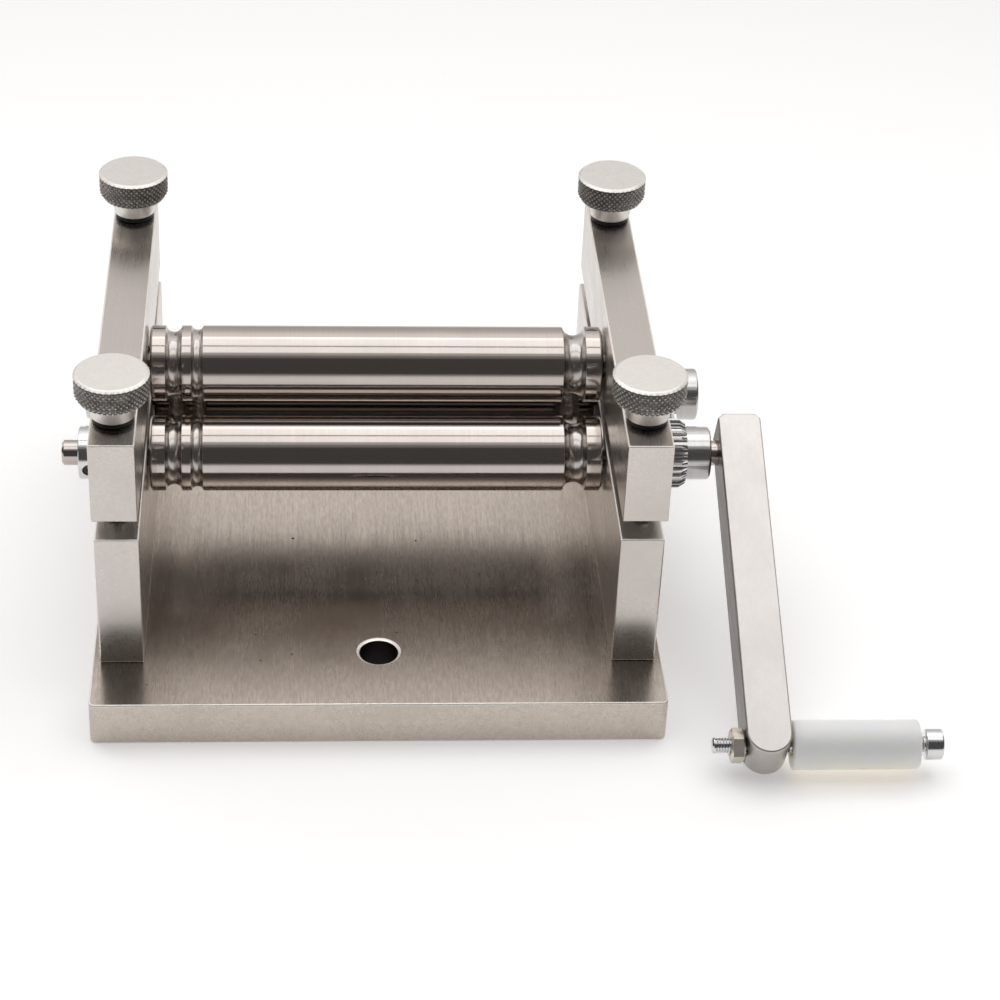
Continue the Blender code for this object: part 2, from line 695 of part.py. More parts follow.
def handle(drop, parent):
    """Screw, nut and loose grip on the crank arm's tip."""
    screw_y = -CRANK_RADIUS * math.cos(drop)
    screw_z = -CRANK_RADIUS * math.sin(drop)
    arm_outer_x = ARM_INNER_X + ARM_WIDTH
    grip_start = arm_outer_x + 0.35 * MM
    head_start = grip_start + GRIP_LENGTH + GRIP_END_PLAY
    head_end = head_start + HANDLE_HEAD_HEIGHT
    bevel = 0.3 * MM
    screw = turned("handle_screw", [
        (HANDLE_SCREW_RADIUS - bevel, HANDLE_SCREW_END_X),
        (HANDLE_SCREW_RADIUS, HANDLE_SCREW_END_X + bevel),
        (HANDLE_SCREW_RADIUS, head_start),
        (HANDLE_HEAD_RADIUS, head_start),
        (HANDLE_HEAD_RADIUS, head_end - bevel),
        (HANDLE_HEAD_RADIUS - bevel, head_end),
    ])
    drill(screw, (head_end, 0, 0), (-1, 0, 0), 1.4 * MM, 1.6 * MM, sides=6)
    smooth_round(screw)
    place(screw, (0, screw_y, screw_z), parent)
    finish(screw, "bright_screw")
    nut_end = ARM_INNER_X - SEAT_GAP
    nut = hexagon("handle_nut", NUT_WIDTH, nut_end - NUT_THICKNESS, nut_end)
    drill(nut, (nut_end - NUT_THICKNESS - MM, 0, 0), (1, 0, 0),
          HANDLE_SCREW_RADIUS + RUNNING_GAP, NUT_THICKNESS + 3 * MM, sides=SMALL_SIDES)
    place(nut, (0, screw_y, screw_z), parent)
    finish(nut, "bright_screw")
    grip = tube("handle_grip", grip_start, grip_start + GRIP_LENGTH, GRIP_BORE_RADIUS,
                GRIP_RADIUS, 0.4 * MM)
    place(grip, (0, screw_y, screw_z), parent)
    finish(grip, "clear_nylon")


def lower_assembly():
    """Everything that stays with the base."""
    base_plate()
    side_frame("left_side_frame", -1)
    side_frame("right_side_frame", 1)
    for end_name, end in (("front", -1), ("rear", 1)):
        for side_name, side in (("left", -1), ("right", 1)):
            frame_screw(f"{side_name}_{end_name}_frame_screw", side * FRAME_MIDDLE_X,
                        end * FRAME_SCREW_Y)
            start_x = side * FRAME_MIDDLE_X - FRAME_THICKNESS / 2 + SEAT_GAP
            bush(f"{end_name}_{side_name}_bush", start_x, end * LOWER_AXIS_Y, LOWER_AXIS_Z)
            lift_spring(f"{side_name}_{end_name}_lift_spring", side * SCREW_X, end * SCREW_Y)
    idler_pin()


def front_shaft():
    """Driven by the crank: front lower roll, its gear, collar, arm and handle."""
    axis = axis_empty("front_shaft_axis", (0.0, -LOWER_AXIS_Y, LOWER_AXIS_Z))
    drop = crank_drop_angle()
    roll("front_lower_roller", FRONT_SHAFT_LEFT, FRONT_SHAFT_RIGHT, axis)
    roll_gear("drive_gear", 0.0, axis)
    set_screw("drive_gear_set_screw", GEAR_START_X + GEAR_FACE + HUB_LENGTH / 2,
              GEAR_SCREW_ANGLE, HUB_RADIUS, axis)
    shaft_collar("front_shaft_collar", axis)
    set_screw("front_collar_set_screw", -COLLAR_START_X - COLLAR_LENGTH / 2,
              COLLAR_SCREW_ANGLE, COLLAR_RADIUS, axis)
    crank_arm(drop, axis)
    handle(drop, axis)


def rear_shaft():
    """Rear lower roll with its gear half a tooth on, so that it meshes with the idler."""
    axis = axis_empty("rear_shaft_axis", (0.0, LOWER_AXIS_Y, LOWER_AXIS_Z))
    half_tooth = math.pi / ROLL_GEAR_TEETH
    roll("rear_lower_roller", REAR_SHAFT_LEFT, REAR_SHAFT_RIGHT, axis)
    roll_gear("rear_gear", half_tooth, axis)
    set_screw("rear_gear_set_screw", GEAR_START_X + GEAR_FACE + HUB_LENGTH / 2,
              GEAR_SCREW_ANGLE, HUB_RADIUS, axis)
    shaft_collar("rear_shaft_collar", axis)
    set_screw("rear_collar_set_screw", -COLLAR_START_X - COLLAR_LENGTH / 2,
              COLLAR_SCREW_ANGLE, COLLAR_RADIUS, axis)


def top_carriage():
    """Bars, bushes, upper roll and thumb screws, which rise and fall together."""
    carriage = axis_empty("top_carriage", (0.0, 0.0, BAR_BOTTOM))
    for side_name, side in (("left", -1), ("right", 1)):
        top_bar(f"{side_name}_top_bar", side, carriage)
        start_x = side * BAR_MIDDLE_X - FRAME_THICKNESS / 2 + SEAT_GAP
        bush(f"upper_{side_name}_bush", start_x, 0.0, UPPER_AXIS_RISE, carriage)
        for end_name, end in (("front", -1), ("rear", 1)):
            x, y = side * SCREW_X, end * SCREW_Y
            screw_washer(f"{side_name}_{end_name}_screw_washer", x, y, carriage)
            thumb_screw(f"{side_name}_{end_name}_thumb_screw", x, y, carriage)
    axis = axis_empty("upper_roller_axis", (0.0, 0.0, UPPER_AXIS_Z))
    roll("upper_roller", -UPPER_SHAFT_END, UPPER_SHAFT_END, axis)


def main():
    clear_scene()
    lower_assembly()
    front_shaft()
    idler_gear((GEAR_START_X, 0.0, LOWER_AXIS_Z))
    rear_shaft()
    top_carriage()


main()
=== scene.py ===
import json
import math

import bmesh
import bpy
from mathutils import Matrix, Vector


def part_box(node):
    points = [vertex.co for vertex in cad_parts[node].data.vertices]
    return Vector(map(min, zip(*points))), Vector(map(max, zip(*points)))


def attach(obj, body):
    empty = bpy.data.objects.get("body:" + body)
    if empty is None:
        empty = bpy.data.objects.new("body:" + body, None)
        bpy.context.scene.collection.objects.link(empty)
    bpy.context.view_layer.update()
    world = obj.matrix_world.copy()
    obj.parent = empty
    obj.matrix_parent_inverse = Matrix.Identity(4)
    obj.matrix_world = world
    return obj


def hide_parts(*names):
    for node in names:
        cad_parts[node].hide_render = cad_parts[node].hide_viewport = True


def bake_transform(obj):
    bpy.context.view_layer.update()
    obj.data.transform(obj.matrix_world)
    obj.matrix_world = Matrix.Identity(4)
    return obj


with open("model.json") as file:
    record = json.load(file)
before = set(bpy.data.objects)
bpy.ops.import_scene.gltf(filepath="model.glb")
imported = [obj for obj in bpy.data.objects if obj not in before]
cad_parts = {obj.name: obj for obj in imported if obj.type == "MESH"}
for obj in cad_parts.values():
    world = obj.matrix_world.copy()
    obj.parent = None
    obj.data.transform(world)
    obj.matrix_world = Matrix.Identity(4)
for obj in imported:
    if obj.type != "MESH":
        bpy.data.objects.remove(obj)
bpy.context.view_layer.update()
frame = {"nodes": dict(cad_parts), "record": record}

MM = 0.001
MICRON = 0.000001
TURN = 2.0 * math.pi
UP = (0, 0, 1)
DOWN = (0, 0, -1)

# Sizes shared with the CAD source
BASE_CORNER = 1.2 * MM
BENCH_HOLE_RADIUS = 3.5 * MM
BENCH_HOLE_CHAMFER = 0.5 * MM
BENCH_HOLE_Y = 41.4 * MM
FRAME_SCREW_Y = 22.0 * MM
SCREW_Y = 36.1 * MM
SCREW_RADIUS = 1.9 * MM
JOURNAL_RADIUS = 2.35 * MM
BORE_RADIUS = 2.45 * MM
BUSH_RADIUS = 3.2 * MM
ROLL_RADIUS = 7.0 * MM
ROLL_HALF = 41.45 * MM
LOWER_Y = 10.25 * MM
LOWER_Z = 30.6 * MM
UPPER_Z = 43.6 * MM
MODULE = 0.5 * MM
GEAR_FACE = 6.8 * MM
IDLER_FACE = 5.0 * MM
HUB_RADIUS = 4.95 * MM
HUB_END = 11.4 * MM
COLLAR_RADIUS = 4.9 * MM
SET_SCREW_RADIUS = 1.3 * MM
COLLAR_SCREW_ANGLE = math.radians(190.0)
GEAR_SCREW_ANGLE = math.radians(-60.0)
CRANK_RADIUS = 60.5 * MM
ARM_START = 63.4 * MM
ARM_WIDTH = 8.0 * MM
ARM_DEPTH = 9.0 * MM
ARM_TOP_REACH = 6.0 * MM
ARM_TIP_REACH = 3.6 * MM
TABLE_GAP = 0.35 * MM

# Where the shafts run, as Y and Z
FRONT_AXIS = (-LOWER_Y, LOWER_Z)
REAR_AXIS = (LOWER_Y, LOWER_Z)
IDLER_AXIS = (0.0, LOWER_Z)
UPPER_AXIS = (0.0, UPPER_Z)

# Holes: radius, depth where they end inside, and how far their mouths are broken
BUSH_HOLE = BUSH_RADIUS + 0.1 * MM
BORE_BREAK = 0.12 * MM
HOLE_BREAK = 0.15 * MM
BENCH_HOLE_STEEPNESS = 0.6
THUMB_SCREW_HOLE = 2.1 * MM
THUMB_SCREW_HOLE_DEPTH = 15.2 * MM
FRAME_SCREW_HOLE = 2.1 * MM
FRAME_SCREW_HOLE_DEPTH = 10.1 * MM
COUNTERSINK = 2.2 * MM
IDLER_PIN_HOLE = 2.1 * MM
IDLER_PIN_HOLE_DEPTH = 6.8 * MM
SPRING_POCKET = 3.4 * MM
SPRING_POCKET_DEPTH = 6.0 * MM
SET_SCREW_HOLE = SET_SCREW_RADIUS + 0.1 * MM
SET_SCREW_BREAK = 0.1 * MM
# How near the shaft's axis a set screw hole ends
SET_SCREW_STOP = 1.2 * MM
HANDLE_SCREW_HOLE = 1.65 * MM
THROUGH = 12.0 * MM
THROUGH_BAR = 20.0 * MM

# Flat parts and turned rings: how far their edges are broken, and how finely they are made
EDGE_BREAK = 0.3 * MM
SHAFT_EDGE = 0.4 * MM
ROLL_ROUNDING = 0.12 * MM
COLLAR_EDGE = 0.4 * MM
RING_EDGE = 0.15 * MM
SHARP_ANGLE = 32.0
FINE = 96
HOLE_SIDES = 64
ROLL_SIDES = 160
GRIP_SIDES = 128
SHANK_SIDES = 32

# Wire grooves in the rolls: place along the roll, radius of the round bottom, depth
GROOVES = ((-37.15 * MM, 1.5 * MM, 1.2 * MM), (-32.9 * MM, 1.1 * MM, 0.8 * MM),
           (36.3 * MM, 2.1 * MM, 1.6 * MM))

# Gear teeth, in modules where no unit is given
PRESSURE_ANGLE = math.radians(20.0)
ADDENDUM = 0.9
DEDENDUM = 1.2
BACKLASH = 0.1 * MM
ROOT_FLARE = 0.012
TOOTH_CHAMFER = 0.22 * MM
HUB_SIDE_CHAMFER = 1.1 * MM
FAR_CHAMFER_FALL = 0.65
HUB_ROUNDING = 0.55 * MM
HUB_BORE_EDGE = 0.3 * MM
IDLER_BORE_EDGE = 0.25 * MM
NEAR_BORE_EDGE = 0.2 * MM
DRIVE_TEETH = 24
IDLER_TEETH = 17

# Retaining clip, an open ring
CLIP_INNER = 1.7 * MM
CLIP_OUTER = 3.4 * MM
CLIP_START = -60.0
CLIP_SWEEP = 300.0

# Thumb screw: thread, neck and knurled knob
THREAD_PITCH = 0.7 * MM
THREAD_DEPTH = 0.38 * MM
THREAD_END = 16.0 * MM
THREAD_LEAD_IN = 0.35 * MM
KNOB_HEIGHT = 8.4 * MM
KNOB_RADIUS = 6.55 * MM
KNOB_FOOT_RADIUS = 5.87 * MM
KNOB_FOOT_SLOPE = 0.72
KNOB_SIDES = 320
KNURL_DEPTH = 0.32 * MM
KNURL_ROWS = 38
KNURL_AROUND = 40
# Where the knurl starts over the seat, and where it ends under the top face
KNURL_START = 3.4 * MM
KNURL_END = 0.42 * MM
# Radius and height over the seat
NECK = ((3.2 * MM, 0.0), (3.85 * MM, 0.0), (4.3 * MM, 3.3 * MM), (5.75 * MM, 3.3 * MM),
        (5.85 * MM, 3.36 * MM))
NECK_ROUNDING = 0.18 * MM
# Radius and depth under the top face
KNOB_TOP = ((6.42 * MM, 0.36 * MM), (6.1 * MM, 0.05 * MM), (5.95 * MM, 0.0))

# Washer under each thumb screw
WASHER_INNER = 2.1 * MM
WASHER_OUTER = 3.6 * MM

# Lift spring
SPRING_WIRE = 0.3 * MM
SPRING_COIL = 2.75 * MM
SPRING_TURNS = 6.0
SPRING_STEPS_PER_TURN = 40
SPRING_WIRE_SIDES = 12
# Turns that lie closed at each end, and the share of the height that is spread evenly
CLOSED_TURNS = 0.9
CLOSED_COIL_RISE = 0.07

# Crank arm, handle screw, its nut, and the grip
ARM_CORNER = 1.0 * MM
ARM_END_STEPS = 32
ARM_EDGE = 0.4 * MM
CAP_HEIGHT = 3.1 * MM
CAP_RADIUS = 2.75 * MM
CAP_FOOT = 2.2 * MM
CAP_RIM = 1.75 * MM
CAP_ROUNDING = 0.4 * MM
CAP_SOCKET = 1.4 * MM
CAP_SOCKET_DEPTH = 1.6 * MM
HANDLE_THREAD_RADIUS = 1.45 * MM
HANDLE_THREAD_PITCH = 0.5 * MM
HANDLE_THREAD_DEPTH = 0.28 * MM
HANDLE_THREAD_TIP = 1.15 * MM
HANDLE_LEAD_IN = 0.3 * MM
HANDLE_THREAD_RELIEF = 0.05 * MM
NUT_FLATS = 5.5 * MM
NUT_CORNER = 3.17 * MM
NUT_FACE = 2.62 * MM
NUT_CHAMFER = 0.32 * MM
NUT_BORE = 1.55 * MM
NUT_BORE_MOUTH = 1.85 * MM
NUT_BORE_CHAMFER = 0.3 * MM
GRIP_INNER = 1.75 * MM
GRIP_OUTER = 4.4 * MM
GRIP_EDGE = 0.4 * MM

# Floor: half its side, its height, and where along Y it has fallen off and where it is full
FLOOR_REACH = 3.0
FLOOR_LEVEL = -0.05 * MM
FLOOR_DIM_Y = -0.50
FLOOR_FULL_Y = -0.27

# Soft panels above the stage, from back to front: name, middle and length along Y, radiance
SOFTBOXES = (("softbox_rear", 0.094, 0.242, 1.66), ("softbox_front", -0.124, 0.152, 1.55),
             ("softbox_spill", -0.239, 0.078, 0.50), ("softbox_edge", -0.323, 0.090, 0.17))
SOFTBOX_HEIGHT = 0.45
SOFTBOX_WIDTH = 0.9

# How bright the room is, from the front (0) to the back (1); the strength multiplies it
WORLD_STRENGTH = 1.3
WORLD_TINT = (1.0, 0.975, 0.96)
WORLD_LEVELS = ((0.0, 0.062), (0.50, 0.066), (0.66, 0.12), (0.76, 0.98), (0.83, 0.94),
                (0.93, 0.60), (1.0, 0.44))

# Camera: place in metres, then yaw, pitch down and roll in degrees, then the lens
CAMERA_PLACE = (-0.01282, -0.43326, 0.31194)
CAMERA_TURN = (4.872, 34.516, 2.751)
CAMERA_LENS = 98.89
CAMERA_SENSOR = 36.0
CAMERA_NEAR = 0.01

RECORD = frame["record"]
BODY_OF = {node: body for body, nodes in RECORD["behaviour"]["bodies"].items() for node in nodes}
SLOT_OF = {part["node"]: part["material_slot"] for part in RECORD["subparts"]}
MATERIALS = {}


# Procedural materials


class Graph:
    """A Principled material, kept by name in MATERIALS, and short ways to wire its nodes."""

    def __init__(self, name, **fixed):
        self.material = bpy.data.materials.new(name)
        MATERIALS[name] = self.material
        self.material.use_nodes = True
        self.tree = self.material.node_tree
        self.shader = self.tree.nodes["Principled BSDF"]
        for key, value in fixed.items():
            self.shader.inputs[key.replace("_", " ")].default_value = value
        self.place = self.add("ShaderNodeTexCoord").outputs["Object"]

    def add(self, kind, **settings):
        node = self.tree.nodes.new(kind)
        for key, value in settings.items():
            setattr(node, key, value)
        return node

    def feed(self, socket, value):
        if isinstance(value, bpy.types.NodeSocket):
            self.tree.links.new(value, socket)
        else:
            socket.default_value = value

    def finish(self, color, roughness, height, depth):
        """Wire colour, roughness and bump, which every finish of the object varies."""
        self.feed(self.shader.inputs["Base Color"], color)
        self.feed(self.shader.inputs["Roughness"], roughness)
        node = self.add("ShaderNodeBump")
        node.inputs["Distance"].default_value = depth
        self.feed(node.inputs["Height"], height)
        self.feed(self.shader.inputs["Normal"], node.outputs["Normal"])

    def noise(self, scale, detail=3.0, roughness=0.55):
        """Noise over the object, its scale per metre given for each axis."""
        mapping = self.add("ShaderNodeMapping")
        self.feed(mapping.inputs["Vector"], self.place)
        mapping.inputs["Scale"].default_value = scale
        node = self.add("ShaderNodeTexNoise")
        self.feed(node.inputs["Vector"], mapping.outputs["Vector"])
        node.inputs["Scale"].default_value = 1.0
        node.inputs["Detail"].default_value = detail
        node.inputs["Roughness"].default_value = roughness
        return node.outputs["Fac"]

    def math(self, operation, first, second):
        node = self.add("ShaderNodeMath", operation=operation)
        self.feed(node.inputs[0], first)
        self.feed(node.inputs[1], second)
        return node.outputs[0]

    def span(self, value, low, high, to_low, to_high):
        """Map a value from one range to another, held at both ends."""
        node = self.add("ShaderNodeMapRange")
        for socket, number in zip(list(node.inputs)[:5], (value, low, high, to_low, to_high)):
            self.feed(socket, number)
        return node.outputs[0]

    def blend(self, share, first, second):
        node = self.add("ShaderNodeMix", data_type="RGBA")
        self.feed(node.inputs["Factor"], share)
        self.feed(node.inputs[6], first)
        self.feed(node.inputs[7], second)
        return node.outputs[2]

    def pits(self, per_metre, share, size):
        """Small scattered pits: 1 in a pit and 0 outside, in a share of the cells."""
        node = self.add("ShaderNodeTexVoronoi")
        self.feed(node.inputs["Vector"], self.place)
        node.inputs["Scale"].default_value = per_metre
        near = self.span(node.outputs["Distance"], size * 0.5, size, 1.0, 0.0)
        split = self.add("ShaderNodeSeparateColor")
        self.feed(split.inputs[0], node.outputs["Color"])
        picked = self.math("LESS_THAN", split.outputs[0], share)
        return self.math("MULTIPLY", near, picked)

    def facing_up(self):
        """How far a face looks up: 1 straight up and -1 straight down."""
        split = self.add("ShaderNodeSeparateXYZ")
        self.feed(split.inputs[0], self.add("ShaderNodeNewGeometry").outputs["Normal"])
        return split.outputs["Z"]

    def on_top(self):
        return self.math("GREATER_THAN", self.facing_up(), 0.9)


def tint(color, factor):
    return (*(min(1.0, channel * factor) for channel in color), 1.0)


def metal(name, color, roughness, grain, grain_depth, contrast=0.16, smudge=0.08, pit_share=0.0,
          speckle=0.0):
    """Bare metal with machining lines and smudges and, where asked, pits and grit on top."""
    coarse, pit_color = 0.22, (0.05, 0.045, 0.04, 1.0)
    graph = Graph(name, Metallic=1.0)
    lines = graph.noise(grain, 3.0)
    broad = graph.noise(tuple(axis * coarse for axis in grain), 2.0)
    cloud = graph.noise((70.0, 55.0, 70.0), 4.0)
    both = graph.math("ADD", graph.math("MULTIPLY", lines, 0.6), graph.math("MULTIPLY", broad, 0.4))
    share = graph.span(both, 0.3, 0.7, 0.0, 1.0)
    base = graph.blend(share, tint(color, 1.0 - contrast), tint(color, 1.0 + contrast * 0.5))
    stain = graph.span(cloud, 0.42, 0.7, 0.0, 0.5)
    base = graph.blend(stain, base, tint(color, 0.86))
    if speckle:
        grit = graph.noise((2600.0, 420.0, 2600.0), 4.0, 0.7)
        above = graph.math("MULTIPLY", graph.on_top(), graph.span(grit, 0.46, 0.62, 0.0, speckle))
        below = graph.math("MULTIPLY", graph.on_top(), graph.span(grit, 0.36, 0.48, speckle, 0.0))
        base = graph.blend(above, base, tint(color, 1.4))
        base = graph.blend(below, base, tint(color, 0.6))
    rough = graph.math("ADD", graph.span(share, 0.0, 1.0, roughness * 1.15, roughness * 0.85),
                       graph.span(cloud, 0.3, 0.7, -smudge / 2, smudge / 2))
    height = both
    if pit_share:
        pit = graph.math("MULTIPLY", graph.pits(900.0, pit_share, 0.3), graph.on_top())
        base = graph.blend(pit, base, pit_color)
        rough = graph.math("ADD", rough, graph.math("MULTIPLY", pit, 0.4))
        height = graph.math("SUBTRACT", both, graph.math("MULTIPLY", pit, 2.0))
    graph.finish(base, rough, height, grain_depth)


def knurled():
    """Bright crests and painted shade in the grooves, darker by how deep each point was cut."""
    crest, groove_painted_shade = (0.60, 0.56, 0.525, 1.0), (0.155, 0.142, 0.135, 1.0)
    graph = Graph("knurled_steel", Metallic=1.0)
    cut_depth = graph.add("ShaderNodeAttribute", attribute_name="cut_depth").outputs["Fac"]
    wear = graph.noise((700.0, 700.0, 700.0), 3.0)
    # Painted shade: the deeper a point of the knurl is cut, the darker it is coloured
    groove_shade_share = graph.math("MULTIPLY", graph.span(cut_depth, 0.15, 0.75, 0.0, 1.0),
                      graph.span(wear, 0.3, 0.6, 0.7, 1.0))
    graph.finish(graph.blend(groove_shade_share, crest, groove_painted_shade), graph.span(groove_shade_share, 0.0, 1.0, 0.36, 0.6),
                 wear, 6 * MICRON)


def coated(name, color, roughness, depth):
    """Dark oxide finish: fine grain and rubbed, lighter patches."""
    graph = Graph(name, Metallic=0.0)
    grain = graph.noise((5200.0, 5200.0, 5200.0), 2.0)
    rubbed = graph.span(graph.noise((500.0, 500.0, 500.0), 3.0), 0.5, 0.75, 0.0, 1.0)
    graph.finish(graph.blend(rubbed, tint(color, 1.0), tint(color, 2.2)),
                 graph.span(grain, 0.3, 0.7, roughness * 0.8, roughness * 1.2), grain, depth)


def milky_nylon():
    """Cloudy off-white plastic that light passes into, with painted warm shade on its underside."""
    clear, cloudy = (0.98, 0.965, 0.91, 1.0), (0.96, 0.94, 0.865, 1.0)
    painted_underside_shade = (0.95, 0.86, 0.70, 1.0)
    graph = Graph("grip_nylon", Metallic=0.0, IOR=1.53, Subsurface_Weight=0.9,
                  Subsurface_Scale=0.005)
    graph.shader.inputs["Subsurface Radius"].default_value = (1.0, 0.92, 0.72)
    cloud = graph.noise((160.0, 420.0, 420.0), 4.0)
    turning = graph.noise((9000.0, 60.0, 60.0), 2.0)
    body = graph.blend(graph.span(cloud, 0.35, 0.7, 0.0, 1.0), clear, cloudy)
    # Painted shade: faces that look down are blended towards a darker, yellower colour
    below = graph.span(graph.facing_up(), -0.9, 0.25, 1.0, 0.0)
    graph.finish(graph.blend(below, body, painted_underside_shade), graph.span(turning, 0.3, 0.7, 0.30, 0.40),
                 turning, 1.5 * MICRON)


def make_materials():
    """The record's finishes, and the finishes, painted shade and painted highlights that single
    faces or pieces get over them.
    """
    along_y = (5200.0, 110.0, 5200.0)
    turned = (11000.0, 90.0, 90.0)
    metal("base_steel", (0.565, 0.50, 0.442), 0.26, (3600.0, 95.0, 3600.0), 5 * MICRON,
          contrast=0.17, pit_share=0.004, speckle=0.26)
    metal("machined_steel", (0.61, 0.568, 0.53), 0.29, along_y, 1.5 * MICRON, contrast=0.07)
    metal("crank_steel", (0.56, 0.53, 0.51), 0.34, along_y, 4 * MICRON, contrast=0.06)
    metal("roll_steel", (0.53, 0.478, 0.445), 0.105, turned, 1.2 * MICRON, contrast=0.06,
          smudge=0.03)
    metal("gear_steel", (0.62, 0.61, 0.60), 0.20, turned, 3 * MICRON, contrast=0.14)
    metal("bush_bronze", (0.62, 0.44, 0.22), 0.34, (3000.0,) * 3, 6 * MICRON)
    metal("spring_steel", (0.44, 0.43, 0.42), 0.24, (2600.0,) * 3, 2 * MICRON)
    coated("black_screw", (0.022, 0.022, 0.024), 0.42, 4 * MICRON)
    coated("black_washer", (0.012, 0.012, 0.012), 0.55, 5 * MICRON)
    metal("thumb_screw_steel", (0.77, 0.745, 0.705), 0.44, (2400.0, 2400.0, 900.0), 4 * MICRON,
          contrast=0.10)
    metal("bright_hardware", (0.70, 0.70, 0.71), 0.14, turned, 2 * MICRON, contrast=0.08)
    milky_nylon()
    knurled()
    metal("groove_steel", (0.50, 0.465, 0.44), 0.22, turned, 3 * MICRON, contrast=0.10)
    # Painted shade: a dark roll steel that stands in for the dim gap between the rolls
    metal("rear_roll_painted_shade", (0.20, 0.18, 0.17), 0.14, turned, 1.2 * MICRON, contrast=0.06,
          smudge=0.03)
    # Painted highlight for the upward-facing broken edges of flat parts
    metal("edge_painted_highlight", (0.88, 0.84, 0.79), 0.50, along_y, 3 * MICRON, contrast=0.10)
    # Painted shade for the crank arm's side that faces the machine
    metal("arm_side_painted_shade", (0.16, 0.135, 0.13), 0.30, along_y, 4 * MICRON, contrast=0.10)
    metal("nut_zinc", (0.76, 0.70, 0.62), 0.42, (2600.0,) * 3, 4 * MICRON, contrast=0.10)
    # Painted shade for the walls of the bench holes
    metal("hole_wall_painted_shade", (0.045, 0.038, 0.038), 0.5, (2400.0,) * 3, 8 * MICRON)


# Mesh tools: every piece is built where it stands, in the object's own frame


def piece_from(name, shape, sharp=SHARP_ANGLE, weighted=True):
    bmesh.ops.recalc_face_normals(shape, faces=shape.faces)
    mesh = bpy.data.meshes.new(name)
    shape.to_mesh(mesh)
    shape.free()
    piece = bpy.data.objects.new(name, mesh)
    bpy.context.scene.collection.objects.link(piece)
    return smooth(piece, sharp, weighted)


def smooth(piece, sharp=SHARP_ANGLE, weighted=True):
    piece.data.shade_smooth()
    piece.data.set_sharp_from_angle(angle=math.radians(sharp))
    if weighted and "soften" not in piece.modifiers:
        modifier = piece.modifiers.new("soften", "WEIGHTED_NORMAL")
        modifier.keep_sharp = True
    return piece


def refinish(piece, finish, chosen):
    """Give the faces that pass a test a finish of their own."""
    piece.data.materials.append(MATERIALS[finish])
    last = len(piece.data.materials) - 1
    for face in piece.data.polygons:
        if chosen(face):
            face.material_index = last


def paint_edge_highlights(piece):
    """The upper broken edges of a flat-sided part, coloured lighter than its faces as a painted
    highlight.
    """
    wall, top = 0.15, 0.985
    refinish(piece, "edge_painted_highlight", lambda face: wall < face.normal.z < top)


def stand_in(piece, node):
    """Show this piece in place of a CAD node, on its body and in its finish."""
    slot = SLOT_OF[node]
    piece.data.materials.clear()
    piece.data.materials.append(MATERIALS[slot])
    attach(piece, BODY_OF[node])
    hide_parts(node)
    return piece


def ring(shape, axis, centre, radius, station, count):
    """Points on a circle; radius may be a function of the angle."""
    points = []
    for step in range(count):
        angle = TURN * step / count
        reach = radius(angle) if callable(radius) else radius
        first, second = reach * math.cos(angle), reach * math.sin(angle)
        if axis == "X":
            place = (station, centre[0] + first, centre[1] + second)
        else:
            place = (centre[0] + first, centre[1] + second, station)
        points.append(shape.verts.new(place))
    return points


def ring_row(shape, axis, centre, outline, count):
    """One ring for each radius and station of an outline."""
    return [ring(shape, axis, centre, radius, station, count) for radius, station in outline]


def stitch(shape, near, far):
    """Join two rings of points, one of which may hold a whole multiple of the other's."""
    count = min(len(near), len(far))
    near_step, far_step = len(near) // count, len(far) // count
    for step in range(count):
        side = [near[(step * near_step + i) % len(near)] for i in range(near_step + 1)]
        back = [far[(step * far_step + i) % len(far)] for i in range(far_step + 1)]
        shape.faces.new(side + back[::-1])


def skin(shape, rings, bored=False):
    """Join a row of rings; bored joins the last to the first, and otherwise both ends close."""
    for near, far in zip(rings, rings[1:]):
        stitch(shape, near, far)
    if bored:
        stitch(shape, rings[-1], rings[0])
    else:
        shape.faces.new(rings[0])
        shape.faces.new(rings[-1])


def rounded(outline, radius, steps=3, closed=False):
    """The outline with its corners turned into small arcs, save nearly straight or tiny ones."""
    flattest, smallest, most = math.radians(165.0), 0.004 * MM, 0.45
    points = [Vector(point) for point in outline]
    made = []
    for index, corner in enumerate(points):
        if not closed and index in (0, len(points) - 1):
            made.append(tuple(corner))
            continue
        back = points[index - 1] - corner
        on = points[(index + 1) % len(points)] - corner
        cut_back = min(radius, back.length * most, on.length * most)
        if back.angle(on, math.pi) > flattest or cut_back < smallest:
            made.append(tuple(corner))
            continue
        first, last = corner + back.normalized() * cut_back, corner + on.normalized() * cut_back
        for step in range(steps + 1):
            share = step / steps
            point = first * (1 - share) ** 2 + corner * 2 * share * (1 - share) + last * share**2
            made.append(tuple(point))
    return made


def sleeve(name, start, end, inner, outer, edge, axis, centre, count=FINE):
    """A turned ring or tube with rolled edges."""
    outline = [(inner, start), (outer, start), (outer, end), (inner, end)]
    shape = bmesh.new()
    skin(shape, ring_row(shape, axis, centre, rounded(outline, edge, closed=True), count), True)
    return piece_from(name, shape)


def cut(piece, tool):
    """Take the tool's shape out of the piece, and the tool out of the scene."""
    modifier = piece.modifiers.new("cut", "BOOLEAN")
    modifier.operation = "DIFFERENCE"
    modifier.solver = "EXACT"
    modifier.object = tool
    held = piece.modifiers.get("soften")
    if held:
        piece.modifiers.remove(held)
    bpy.context.view_layer.update()
    solid = piece.evaluated_get(bpy.context.evaluated_depsgraph_get())
    mesh = bpy.data.meshes.new_from_object(solid)
    piece.modifiers.clear()
    piece.data = mesh
    mesh.name = piece.name
    bpy.data.objects.remove(tool, do_unlink=True)


